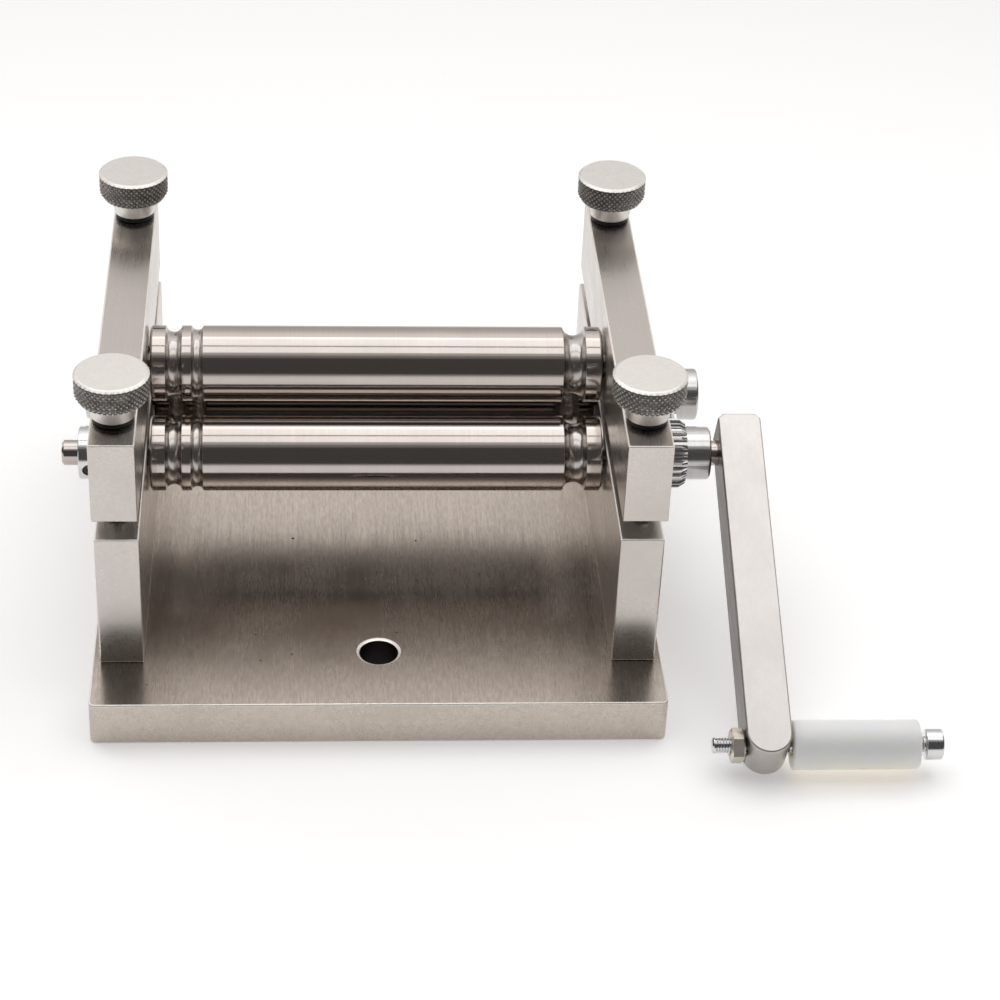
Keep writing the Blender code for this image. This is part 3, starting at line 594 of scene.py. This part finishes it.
def drill(piece, point, direction, radius, depth, mouth=0.0, sides=HOLE_SIDES, steep=1.0):
    """Hole along a direction; mouth is its chamfer's width, and steep the depth over that."""
    outline = [(radius, -MM), (radius, depth)]
    if mouth:
        outline = [(radius + mouth, -MM), (radius + mouth, 0.0), (radius, mouth * steep),
                   (radius, depth)]
    shape = bmesh.new()
    skin(shape, ring_row(shape, "X", (0.0, 0.0), outline, sides))
    tool = piece_from("tool", shape, weighted=False)
    aim = Vector(direction).to_track_quat("X", "Z").to_matrix().to_4x4()
    tool.matrix_world = Matrix.Translation(point) @ aim
    cut(piece, tool)


def drill_set_screw(piece, x, centre, angle, outer, mouth=0.0):
    """Hole for a set screw, from the outside of a collar or hub into its bore."""
    aim = Vector((0.0, math.cos(angle), math.sin(angle)))
    start = Vector((x, *centre)) + aim * outer
    drill(piece, start, -aim, SET_SCREW_HOLE, outer - SET_SCREW_STOP, mouth)


def block(name, low, high, corner=0.0):
    """A box between two corners with rolled edges and, where asked, rounded upright corners."""
    size = high - low
    shape = bmesh.new()
    bmesh.ops.create_cube(shape, size=1.0)
    bmesh.ops.scale(shape, vec=size, verts=shape.verts)

    def upright(item):
        return abs(item.verts[0].co.z - item.verts[1].co.z) > size.z / 2

    if corner:
        bmesh.ops.bevel(shape, geom=[item for item in shape.edges if upright(item)],
                        offset=corner, segments=10, profile=0.5, affect="EDGES")
        edges = [item for item in shape.edges if not upright(item)]
    else:
        edges = list(shape.edges)
    bmesh.ops.bevel(shape, geom=edges, offset=EDGE_BREAK, segments=3, profile=0.5,
                    affect="EDGES")
    bmesh.ops.translate(shape, vec=(low + high) / 2, verts=shape.verts)
    return piece_from(name, shape)


def middle(node):
    low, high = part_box(node)
    return (low + high) / 2


# Base plate, side frames and top bars


def build_base():
    low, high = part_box("base_plate")
    frame_x = middle("right_side_frame").x
    plate = block("base_plate_fine", low, high, BASE_CORNER)
    for side in (-1, 1):
        drill(plate, (0.0, side * BENCH_HOLE_Y, high.z), DOWN, BENCH_HOLE_RADIUS, THROUGH,
              BENCH_HOLE_CHAMFER, FINE, BENCH_HOLE_STEEPNESS)
        for end in (-1, 1):
            drill(plate, (side * frame_x, end * FRAME_SCREW_Y, low.z), UP, FRAME_SCREW_HOLE,
                  THROUGH, COUNTERSINK)
    paint_edge_highlights(stand_in(smooth(plate), "base_plate"))

    def bench_hole_wall(face):
        from_axis = math.hypot(face.center.x, abs(face.center.y) - BENCH_HOLE_Y)
        upright, margin = 0.2, 0.02 * MM
        return abs(face.normal.z) < upright and from_axis < BENCH_HOLE_RADIUS + margin

    # Painted shade: the bench holes' walls are coloured near black
    refinish(plate, "hole_wall_painted_shade", bench_hole_wall)


def build_frame(node, side):
    low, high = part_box(node)
    cheek = block(f"{node}_fine", low, high)
    inner = low.x if side > 0 else high.x
    screw_x = middle("right_front_thumb_screw").x * side
    for end in (-1, 1):
        drill(cheek, (inner, end * LOWER_Y, LOWER_Z), (side, 0, 0), BUSH_HOLE, THROUGH,
              BORE_BREAK)
        drill(cheek, (screw_x, end * SCREW_Y, high.z), DOWN, THUMB_SCREW_HOLE,
              THUMB_SCREW_HOLE_DEPTH, HOLE_BREAK)
        drill(cheek, (middle(node).x, end * FRAME_SCREW_Y, low.z), UP, FRAME_SCREW_HOLE,
              FRAME_SCREW_HOLE_DEPTH)
    if side > 0:
        drill(cheek, (high.x, *IDLER_AXIS), (-1, 0, 0), IDLER_PIN_HOLE, IDLER_PIN_HOLE_DEPTH)
    paint_edge_highlights(stand_in(smooth(cheek), node))


def build_bar(node, side):
    low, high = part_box(node)
    bar = block(f"{node}_fine", low, high)
    inner = low.x if side > 0 else high.x
    centre_x = middle(node).x
    drill(bar, (inner, *UPPER_AXIS), (side, 0, 0), BUSH_HOLE, THROUGH, BORE_BREAK)
    for end in (-1, 1):
        drill(bar, (centre_x, end * SCREW_Y, high.z), DOWN, THUMB_SCREW_HOLE, THROUGH_BAR,
              HOLE_BREAK)
        drill(bar, (centre_x, end * SCREW_Y, low.z), UP, SPRING_POCKET, SPRING_POCKET_DEPTH,
              HOLE_BREAK)
    paint_edge_highlights(stand_in(smooth(bar), node))


# Rolls


def groove(middle_x, bottom, depth):
    """Section of a wire groove, as radius and station."""
    centre = ROLL_RADIUS - depth + bottom
    half = math.acos((bottom - depth) / bottom)
    steps = 14
    return [(centre - bottom * math.cos(half * (2 * step / steps - 1)),
             middle_x + bottom * math.sin(half * (2 * step / steps - 1)))
            for step in range(steps + 1)]


def build_roll(node):
    low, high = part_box(node)
    centre = (middle(node).y, middle(node).z)
    edge = SHAFT_EDGE
    outline = [(JOURNAL_RADIUS - edge, low.x), (JOURNAL_RADIUS, low.x + edge),
               (JOURNAL_RADIUS, -ROLL_HALF), (ROLL_RADIUS - edge, -ROLL_HALF),
               (ROLL_RADIUS, -ROLL_HALF + edge)]
    for item in GROOVES:
        outline += groove(*item)
    outline += [(ROLL_RADIUS, ROLL_HALF - edge), (ROLL_RADIUS - edge, ROLL_HALF),
                (JOURNAL_RADIUS, ROLL_HALF), (JOURNAL_RADIUS, high.x - edge),
                (JOURNAL_RADIUS - edge, high.x)]
    shape = bmesh.new()
    skin(shape, ring_row(shape, "X", centre, rounded(outline, ROLL_ROUNDING), ROLL_SIDES))
    roll = stand_in(piece_from(f"{node}_fine", shape, sharp=40.0), node)

    def in_groove(face):
        reach = math.hypot(face.center.y - centre[0], face.center.z - centre[1])
        return reach < ROLL_RADIUS - 0.03 * MM and abs(face.center.x) < ROLL_HALF - MM

    # The rear lower roll gets the dark steel all over, as painted shade for the gap between the
    # rolls
    if node == "rear_lower_roller":
        refinish(roll, "rear_roll_painted_shade", lambda face: True)
    refinish(roll, "groove_steel", in_groove)


# Gears, collars and the idler's clip


def involute(radius, base):
    """How far an involute has turned from its base circle at a radius."""
    ratio = base / radius
    return math.sqrt(1.0 / ratio**2 - 1.0) - math.acos(ratio)


def teeth_outline(teeth, first):
    """The points of the toothed rim, as radius and angle, and its outer radius."""
    pitch = MODULE * teeth / 2
    base = pitch * math.cos(PRESSURE_ANGLE)
    root, tip = pitch - DEDENDUM * MODULE, pitch + ADDENDUM * MODULE
    half = math.pi / (2 * teeth) - BACKLASH / (2 * pitch)
    start = max(base, root)
    steps = 4
    flank = []
    for step in range(steps + 1):
        radius = start + (tip - start) * step / steps
        flank.append((radius, half + involute(pitch, base) - involute(radius, base)))
    foot = flank[0][1]
    side = [(root, foot + ROOT_FLARE), (root + 0.04 * MM, foot)] + flank
    points = []
    for tooth in range(teeth):
        centre = first + TURN * tooth / teeth
        points += [(radius, centre - angle) for radius, angle in side]
        points += [(radius, centre + angle) for radius, angle in reversed(side)]
    return points, tip


def tooth_ring(shape, centre, points, station, limit):
    """The toothed outline at one station, turned down to a largest radius."""
    return [shape.verts.new((station, centre[0] + min(radius, limit) * math.cos(angle),
                             centre[1] + min(radius, limit) * math.sin(angle)))
            for radius, angle in points]


def hub_ring(shape, centre, points, radius, station):
    """A plain circle with a point at each angle of the toothed outline."""
    return tooth_ring(shape, centre, [(radius, angle) for _, angle in points], station, radius)


def build_gear(node, centre, teeth, face, first, bore, hub_end=None):
    """Spur gear whose teeth are chamfered at both faces; a hub follows where asked."""
    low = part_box(node)[0]
    points, tip = teeth_outline(teeth, first)
    far_chamfer = HUB_SIDE_CHAMFER if hub_end else TOOTH_CHAMFER
    shape = bmesh.new()
    rings = [tooth_ring(shape, centre, points, low.x, tip - TOOTH_CHAMFER),
             tooth_ring(shape, centre, points, low.x + TOOTH_CHAMFER, tip),
             tooth_ring(shape, centre, points, low.x + face - far_chamfer, tip),
             tooth_ring(shape, centre, points, low.x + face,
                        tip - FAR_CHAMFER_FALL * far_chamfer)]
    end = low.x + face
    if hub_end:
        end = low.x + hub_end
        profile = rounded([(HUB_RADIUS, low.x + face), (HUB_RADIUS, end),
                           (bore + HUB_BORE_EDGE, end), (bore, end - HUB_BORE_EDGE)],
                          HUB_ROUNDING, 5)
    else:
        profile = [(bore + IDLER_BORE_EDGE, end), (bore, end - IDLER_BORE_EDGE)]
    profile += [(bore, low.x + NEAR_BORE_EDGE), (bore + NEAR_BORE_EDGE, low.x)]
    rings += [hub_ring(shape, centre, points, radius, station) for radius, station in profile]
    skin(shape, rings, True)
    gear = piece_from(f"{node}_fine", shape, sharp=28.0)
    if hub_end:
        drill_set_screw(gear, low.x + (face + hub_end) / 2, centre, GEAR_SCREW_ANGLE, HUB_RADIUS)
        smooth(gear, sharp=28.0)
    stand_in(gear, node)


def build_collar(node, centre):
    low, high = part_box(node)
    collar = sleeve(f"{node}_fine", low.x, high.x, BORE_RADIUS, COLLAR_RADIUS, COLLAR_EDGE,
                    "X", centre)
    drill_set_screw(collar, (low.x + high.x) / 2, centre, COLLAR_SCREW_ANGLE, COLLAR_RADIUS,
                    SET_SCREW_BREAK)
    stand_in(smooth(collar), node)


def build_clip():
    """Open retaining ring in the idler pin's groove."""
    low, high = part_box("idler_clip")
    corners = ((CLIP_INNER, low.x), (CLIP_OUTER, low.x), (CLIP_OUTER, high.x),
               (CLIP_INNER, high.x))
    steps = 60
    shape = bmesh.new()
    sections = []
    for step in range(steps + 1):
        angle = math.radians(CLIP_START + CLIP_SWEEP * step / steps)
        across = Vector((0.0, math.cos(angle), math.sin(angle)))
        sections.append([shape.verts.new(Vector((station, *IDLER_AXIS)) + across * radius)
                         for radius, station in corners])
    skin(shape, sections)
    stand_in(piece_from("idler_clip_fine", shape), "idler_clip")


# Thumb screws, washers and springs


def groove_depth(value):
    """0 on a crest and 1 in a V groove, once for each whole number."""
    return 1.0 - abs(2.0 * (value % 1.0) - 1.0)


def thread_rings(shape, axis, centre, start, end, radius, pitch, depth, count):
    """Rings along a V thread that fades out at both ends."""
    per_pitch = 6
    rings = []
    steps = max(2, int(round((end - start) / pitch * per_pitch)))
    for step in range(steps + 1):
        station = start + (end - start) * step / steps
        fade = min(1.0, step / per_pitch, (steps - step) / per_pitch)

        def reach(angle, station=station, fade=fade):
            return radius - depth * fade * groove_depth(station / pitch - angle / TURN)

        rings.append(ring(shape, axis, centre, reach, station, count))
    return rings


def knurl_rings(shape, centre, low, high, body):
    """Rings up a knob that two crossing sets of V grooves are cut into."""
    pitch = TURN * KNOB_RADIUS / KNURL_AROUND
    rings = []
    for row in range(KNURL_ROWS + 1):
        station = low + (high - low) * row / KNURL_ROWS
        fade = min(1.0, (row + 0.5) / 2, (KNURL_ROWS - row + 0.5) / 2)

        def reach(angle, station=station, fade=fade):
            turns = angle / TURN * KNURL_AROUND
            climb = station / pitch
            groove_at = max(groove_depth(turns + climb), groove_depth(turns - climb))
            return body(station) - KNURL_DEPTH * fade * groove_at

        rings.append(ring(shape, "Z", centre, reach, station, KNOB_SIDES))
    return rings


def build_thumb_screw(node):
    low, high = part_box(node)
    spot = middle(node)
    centre = (spot.x, spot.y)
    seat = high.z - KNOB_HEIGHT
    knurl_low, knurl_high = seat + KNURL_START, high.z - KNURL_END

    def body(station):
        """Radius of the knob before it is knurled."""
        return min(KNOB_RADIUS, KNOB_FOOT_RADIUS + KNOB_FOOT_SLOPE * (station - knurl_low))

    shape = bmesh.new()
    rings = [ring(shape, "Z", centre, SCREW_RADIUS - THREAD_LEAD_IN, low.z, SHANK_SIDES)]
    rings += thread_rings(shape, "Z", centre, low.z + THREAD_LEAD_IN, low.z + THREAD_END,
                          SCREW_RADIUS, THREAD_PITCH, THREAD_DEPTH, SHANK_SIDES)
    rings.append(ring(shape, "Z", centre, SCREW_RADIUS, seat, SHANK_SIDES))
    neck = rounded([(radius, seat + height) for radius, height in NECK], NECK_ROUNDING)
    rings += ring_row(shape, "Z", centre, neck, KNOB_SIDES)
    rings += knurl_rings(shape, centre, knurl_low, knurl_high, body)
    top = [(radius, high.z - depth) for radius, depth in KNOB_TOP]
    rings += ring_row(shape, "Z", centre, top, KNOB_SIDES)
    skin(shape, rings)
    screw = stand_in(piece_from(f"{node}_fine", shape, sharp=38.0), node)
    mark_knurl(screw, centre, knurl_low, knurl_high, body)


def mark_knurl(screw, centre, low, high, body):
    """Store how deep the knurl is cut and give its faces their own finish."""
    inside_knurl = 5.3 * MM
    margin = 0.01 * MM
    mesh = screw.data
    deep = mesh.attributes.new("cut_depth", "FLOAT", "POINT")
    for point, item in zip(mesh.vertices, deep.data):
        reach = math.hypot(point.co.x - centre[0], point.co.y - centre[1])
        if low - margin < point.co.z < high + margin:
            item.value = min(1.0, max(0.0, (body(point.co.z) - reach) / KNURL_DEPTH))

    def is_knurled(face):
        reach = math.hypot(face.center.x - centre[0], face.center.y - centre[1])
        return low < face.center.z < high and reach > inside_knurl

    refinish(screw, "knurled_steel", is_knurled)


def build_washer(node):
    low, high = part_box(node)
    spot = middle(node)
    washer = sleeve(f"{node}_fine", low.z, high.z, WASHER_INNER, WASHER_OUTER, RING_EDGE,
                    "Z", (spot.x, spot.y))
    stand_in(washer, node)


def build_spring(node):
    """Round wire with closed end coils, from the frame up to the bar."""
    low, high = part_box(node)
    spot = middle(node)
    bottom, top = low.z + SPRING_WIRE, high.z - SPRING_WIRE
    closed = 1.0 / SPRING_TURNS * CLOSED_TURNS
    steps = int(SPRING_TURNS * SPRING_STEPS_PER_TURN)
    shape = bmesh.new()
    sections = []
    for step in range(steps + 1):
        share = step / steps
        rise = min(1.0, max(0.0, (share - closed) / (1.0 - 2 * closed)))
        height = bottom + (top - bottom) * (CLOSED_COIL_RISE * share
                                            + (1 - CLOSED_COIL_RISE) * rise)
        angle = TURN * SPRING_TURNS * share
        section = []
        for side in range(SPRING_WIRE_SIDES):
            around = TURN * side / SPRING_WIRE_SIDES
            radius = SPRING_COIL + SPRING_WIRE * math.cos(around)
            section.append(shape.verts.new((spot.x + radius * math.cos(angle),
                                            spot.y + radius * math.sin(angle),
                                            height + SPRING_WIRE * math.sin(around))))
        sections.append(section)
    skin(shape, sections)
    piece = piece_from(f"{node}_fine", shape, sharp=60.0, weighted=False)
    slot = SLOT_OF[node]
    piece.data.materials.append(MATERIALS[slot])
    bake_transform(piece)
    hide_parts(node)


# Crank and handle


def build_crank():
    """Flat arm whose tip hangs just above the table; returns the handle's axis as Y and Z."""
    reach, half_depth, half = CRANK_RADIUS + ARM_TIP_REACH, ARM_DEPTH / 2, ARM_WIDTH / 2
    drop = (math.asin((LOWER_Z - TABLE_GAP) / math.hypot(reach, half_depth))
            - math.atan2(half_depth, reach))
    outline = [(-half + ARM_CORNER, ARM_TOP_REACH), (-half, ARM_TOP_REACH - ARM_CORNER)]
    for step in range(ARM_END_STEPS + 1):
        angle = math.pi * step / ARM_END_STEPS
        outline.append((-half * math.cos(angle), -reach + half - half * math.sin(angle)))
    outline += [(half, ARM_TOP_REACH - ARM_CORNER), (half - ARM_CORNER, ARM_TOP_REACH)]
    shape = bmesh.new()
    face = shape.faces.new([shape.verts.new((x, y, -half_depth)) for x, y in outline])
    moved = bmesh.ops.extrude_face_region(shape, geom=[face])["geom"]
    lifted = [item for item in moved if isinstance(item, bmesh.types.BMVert)]
    bmesh.ops.translate(shape, vec=(0.0, 0.0, ARM_DEPTH), verts=lifted)
    rims = [edge for edge in shape.edges
            if abs(edge.verts[0].co.z - edge.verts[1].co.z) < half_depth]
    bmesh.ops.bevel(shape, geom=rims, offset=ARM_EDGE, segments=4, profile=0.5, affect="EDGES")
    arm = piece_from("crank_arm_fine", shape)
    drill(arm, (-half, 0, 0), (1, 0, 0), BORE_RADIUS, ARM_WIDTH + MM, HOLE_BREAK)
    drill(arm, (-half, -CRANK_RADIUS, 0), (1, 0, 0), HANDLE_SCREW_HOLE, ARM_WIDTH + MM,
          HOLE_BREAK)
    drill(arm, (0, ARM_TOP_REACH, 0), (0, -1, 0), SET_SCREW_HOLE,
          ARM_TOP_REACH - SET_SCREW_STOP, SET_SCREW_BREAK)
    arm.data.transform(Matrix.Translation((ARM_START + half, *FRONT_AXIS))
                       @ Matrix.Rotation(drop, 4, "X"))
    stand_in(smooth(arm), "crank_arm")
    # Painted shade: the arm's side that looks along -X is coloured dark
    refinish(arm, "arm_side_painted_shade", lambda face: face.normal.x < -0.9)
    return (-LOWER_Y - CRANK_RADIUS * math.cos(drop), LOWER_Z - CRANK_RADIUS * math.sin(drop))


def build_handle_screw(centre):
    low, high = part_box("handle_screw")
    head = high.x - CAP_HEIGHT
    shape = bmesh.new()
    rings = [ring(shape, "X", centre, HANDLE_THREAD_TIP, low.x, SHANK_SIDES)]
    rings += thread_rings(shape, "X", centre, low.x + HANDLE_LEAD_IN,
                          head - HANDLE_THREAD_RELIEF, HANDLE_THREAD_RADIUS,
                          HANDLE_THREAD_PITCH, HANDLE_THREAD_DEPTH, SHANK_SIDES)
    cap = rounded([(CAP_FOOT, head), (CAP_RADIUS, head), (CAP_RADIUS, high.x),
                   (CAP_RIM, high.x)], CAP_ROUNDING, 4)
    rings += ring_row(shape, "X", centre, cap, FINE)
    skin(shape, rings)
    screw = piece_from("handle_screw_fine", shape, sharp=38.0)
    drill(screw, (high.x, *centre), (-1, 0, 0), CAP_SOCKET, CAP_SOCKET_DEPTH, sides=6)
    stand_in(smooth(screw, sharp=38.0), "handle_screw")


def build_handle_nut(centre):
    low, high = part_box("handle_nut")

    def hexagon(trim):
        """Radius of a hexagon whose corners are turned down to a circle."""
        def reach(angle):
            folded = (angle % (TURN / 6)) - TURN / 12
            return min(NUT_FLATS / 2 / math.cos(folded), trim)
        return reach

    outline = [(hexagon(NUT_FACE), low.x), (hexagon(NUT_CORNER), low.x + NUT_CHAMFER),
               (hexagon(NUT_CORNER), high.x - NUT_CHAMFER), (hexagon(NUT_FACE), high.x),
               (NUT_BORE_MOUTH, high.x), (NUT_BORE, high.x - NUT_BORE_CHAMFER),
               (NUT_BORE, low.x + NUT_BORE_CHAMFER), (NUT_BORE_MOUTH, low.x)]
    shape = bmesh.new()
    skin(shape, ring_row(shape, "X", centre, outline, FINE), True)
    nut = stand_in(piece_from("handle_nut_fine", shape, sharp=25.0), "handle_nut")
    refinish(nut, "nut_zinc", lambda face: True)


def build_grip(centre):
    low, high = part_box("handle_grip")
    grip = sleeve("handle_grip_fine", low.x, high.x, GRIP_INNER, GRIP_OUTER, GRIP_EDGE, "X",
                  centre, GRIP_SIDES)
    stand_in(grip, "handle_grip")


# Studio


def build_floor():
    """Matte white floor, darker towards its front edge."""
    reach, level = FLOOR_REACH, FLOOR_LEVEL
    floor_mesh = bpy.data.meshes.new("floor")
    floor_mesh.from_pydata([(-reach, -reach, level), (reach, -reach, level),
                            (reach, reach, level), (-reach, reach, level)], [], [(0, 1, 2, 3)])
    floor = bpy.data.objects.new("floor", floor_mesh)
    bpy.context.scene.collection.objects.link(floor)
    graph = Graph("floor_white", Roughness=0.75, Specular_IOR_Level=0.15)
    split = graph.add("ShaderNodeSeparateXYZ")
    graph.feed(split.inputs[0], graph.place)
    near = graph.span(split.outputs["Y"], FLOOR_DIM_Y, FLOOR_FULL_Y, 0.0, 1.0)
    graph.feed(graph.shader.inputs["Base Color"],
               graph.blend(near, (0.58, 0.575, 0.57, 1.0), (0.93, 0.93, 0.93, 1.0)))
    graph.shader.inputs["Emission Color"].default_value = (1.0, 0.995, 0.99, 1.0)
    graph.feed(graph.shader.inputs["Emission Strength"],
               graph.span(near, 0.0, 1.0, 0.10, 0.27))
    floor_mesh.materials.append(graph.material)


def build_softbox(name, middle_y, length, radiance):
    """Soft panel facing down, given by how bright its surface is."""
    light = bpy.data.lights.new(name, "AREA")
    light.shape = "RECTANGLE"
    light.size, light.size_y = SOFTBOX_WIDTH, length
    light.energy = radiance * math.pi * SOFTBOX_WIDTH * length
    lamp = bpy.data.objects.new(name, light)
    lamp.location = (0.0, middle_y, SOFTBOX_HEIGHT)
    bpy.context.scene.collection.objects.link(lamp)


def build_world():
    """Room light that changes from the front to the back."""
    world = bpy.data.worlds.new("studio")
    bpy.context.scene.world = world
    world.use_nodes = True
    tree = world.node_tree
    background = tree.nodes["Background"]
    place = tree.nodes.new("ShaderNodeTexCoord")
    split = tree.nodes.new("ShaderNodeSeparateXYZ")
    tree.links.new(place.outputs["Generated"], split.inputs[0])
    ramp = tree.nodes.new("ShaderNodeValToRGB")
    shift = tree.nodes.new("ShaderNodeMapRange")
    tree.links.new(split.outputs["Y"], shift.inputs[0])
    shift.inputs[1].default_value, shift.inputs[2].default_value = -1.0, 1.0
    tree.links.new(shift.outputs[0], ramp.inputs[0])
    for position, _ in WORLD_LEVELS[1:-1]:
        ramp.color_ramp.elements.new(position)
    for element, (position, level) in zip(ramp.color_ramp.elements, WORLD_LEVELS):
        element.position = position
        element.color = (*(level * channel for channel in WORLD_TINT), 1.0)
    tree.links.new(ramp.outputs[0], background.inputs["Color"])
    background.inputs["Strength"].default_value = WORLD_STRENGTH


def build_camera():
    yaw, pitch, roll = (math.radians(value) for value in CAMERA_TURN)
    ahead = Vector((math.sin(yaw) * math.cos(pitch), math.cos(yaw) * math.cos(pitch),
                    -math.sin(pitch)))
    level = Vector((math.cos(yaw), -math.sin(yaw), 0.0))
    rise = level.cross(ahead)
    right = level * math.cos(roll) + rise * math.sin(roll)
    up = rise * math.cos(roll) - level * math.sin(roll)
    lens = bpy.data.cameras.new("camera")
    lens.lens = CAMERA_LENS
    lens.sensor_width = CAMERA_SENSOR
    lens.clip_start = CAMERA_NEAR
    camera = bpy.data.objects.new("camera", lens)
    place = Vector(CAMERA_PLACE)
    camera.matrix_world = Matrix((
        (right.x, up.x, -ahead.x, place.x), (right.y, up.y, -ahead.y, place.y),
        (right.z, up.z, -ahead.z, place.z), (0.0, 0.0, 0.0, 1.0)))
    bpy.context.scene.collection.objects.link(camera)
    bpy.context.scene.camera = camera
    bpy.context.scene.view_settings.view_transform = "Standard"


def build_all():
    make_materials()
    build_base()
    for side_name, side in (("left", -1), ("right", 1)):
        build_frame(f"{side_name}_side_frame", side)
        build_bar(f"{side_name}_top_bar", side)
        for end in ("front", "rear"):
            build_thumb_screw(f"{side_name}_{end}_thumb_screw")
            build_spring(f"{side_name}_{end}_lift_spring")
            build_washer(f"{side_name}_{end}_screw_washer")
    for shaft, centre in (("front", FRONT_AXIS), ("rear", REAR_AXIS), ("upper", UPPER_AXIS)):
        for side_name in ("left", "right"):
            node = f"{shaft}_{side_name}_bush"
            low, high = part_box(node)
            stand_in(sleeve(f"{node}_fine", low.x, high.x, BORE_RADIUS, BUSH_RADIUS, RING_EDGE,
                            "X", centre), node)
    for node in ("front_lower_roller", "rear_lower_roller", "upper_roller"):
        build_roll(node)
    half_tooth = math.pi / DRIVE_TEETH
    build_gear("drive_gear", FRONT_AXIS, DRIVE_TEETH, GEAR_FACE, 0.0, BORE_RADIUS, HUB_END)
    build_gear("rear_gear", REAR_AXIS, DRIVE_TEETH, GEAR_FACE, half_tooth, BORE_RADIUS, HUB_END)
    build_gear("idler_gear", IDLER_AXIS, IDLER_TEETH, IDLER_FACE, 0.0, IDLER_PIN_HOLE)
    build_collar("front_shaft_collar", FRONT_AXIS)
    build_collar("rear_shaft_collar", REAR_AXIS)
    build_clip()
    handle_axis = build_crank()
    build_handle_screw(handle_axis)
    build_handle_nut(handle_axis)
    build_grip(handle_axis)
    for node, item in frame["nodes"].items():
        if not item.hide_render:
            item.data.materials.clear()
            item.data.materials.append(MATERIALS[SLOT_OF[node]])
    build_floor()
    for softbox in SOFTBOXES:
        build_softbox(*softbox)
    build_world()
    build_camera()


build_all()
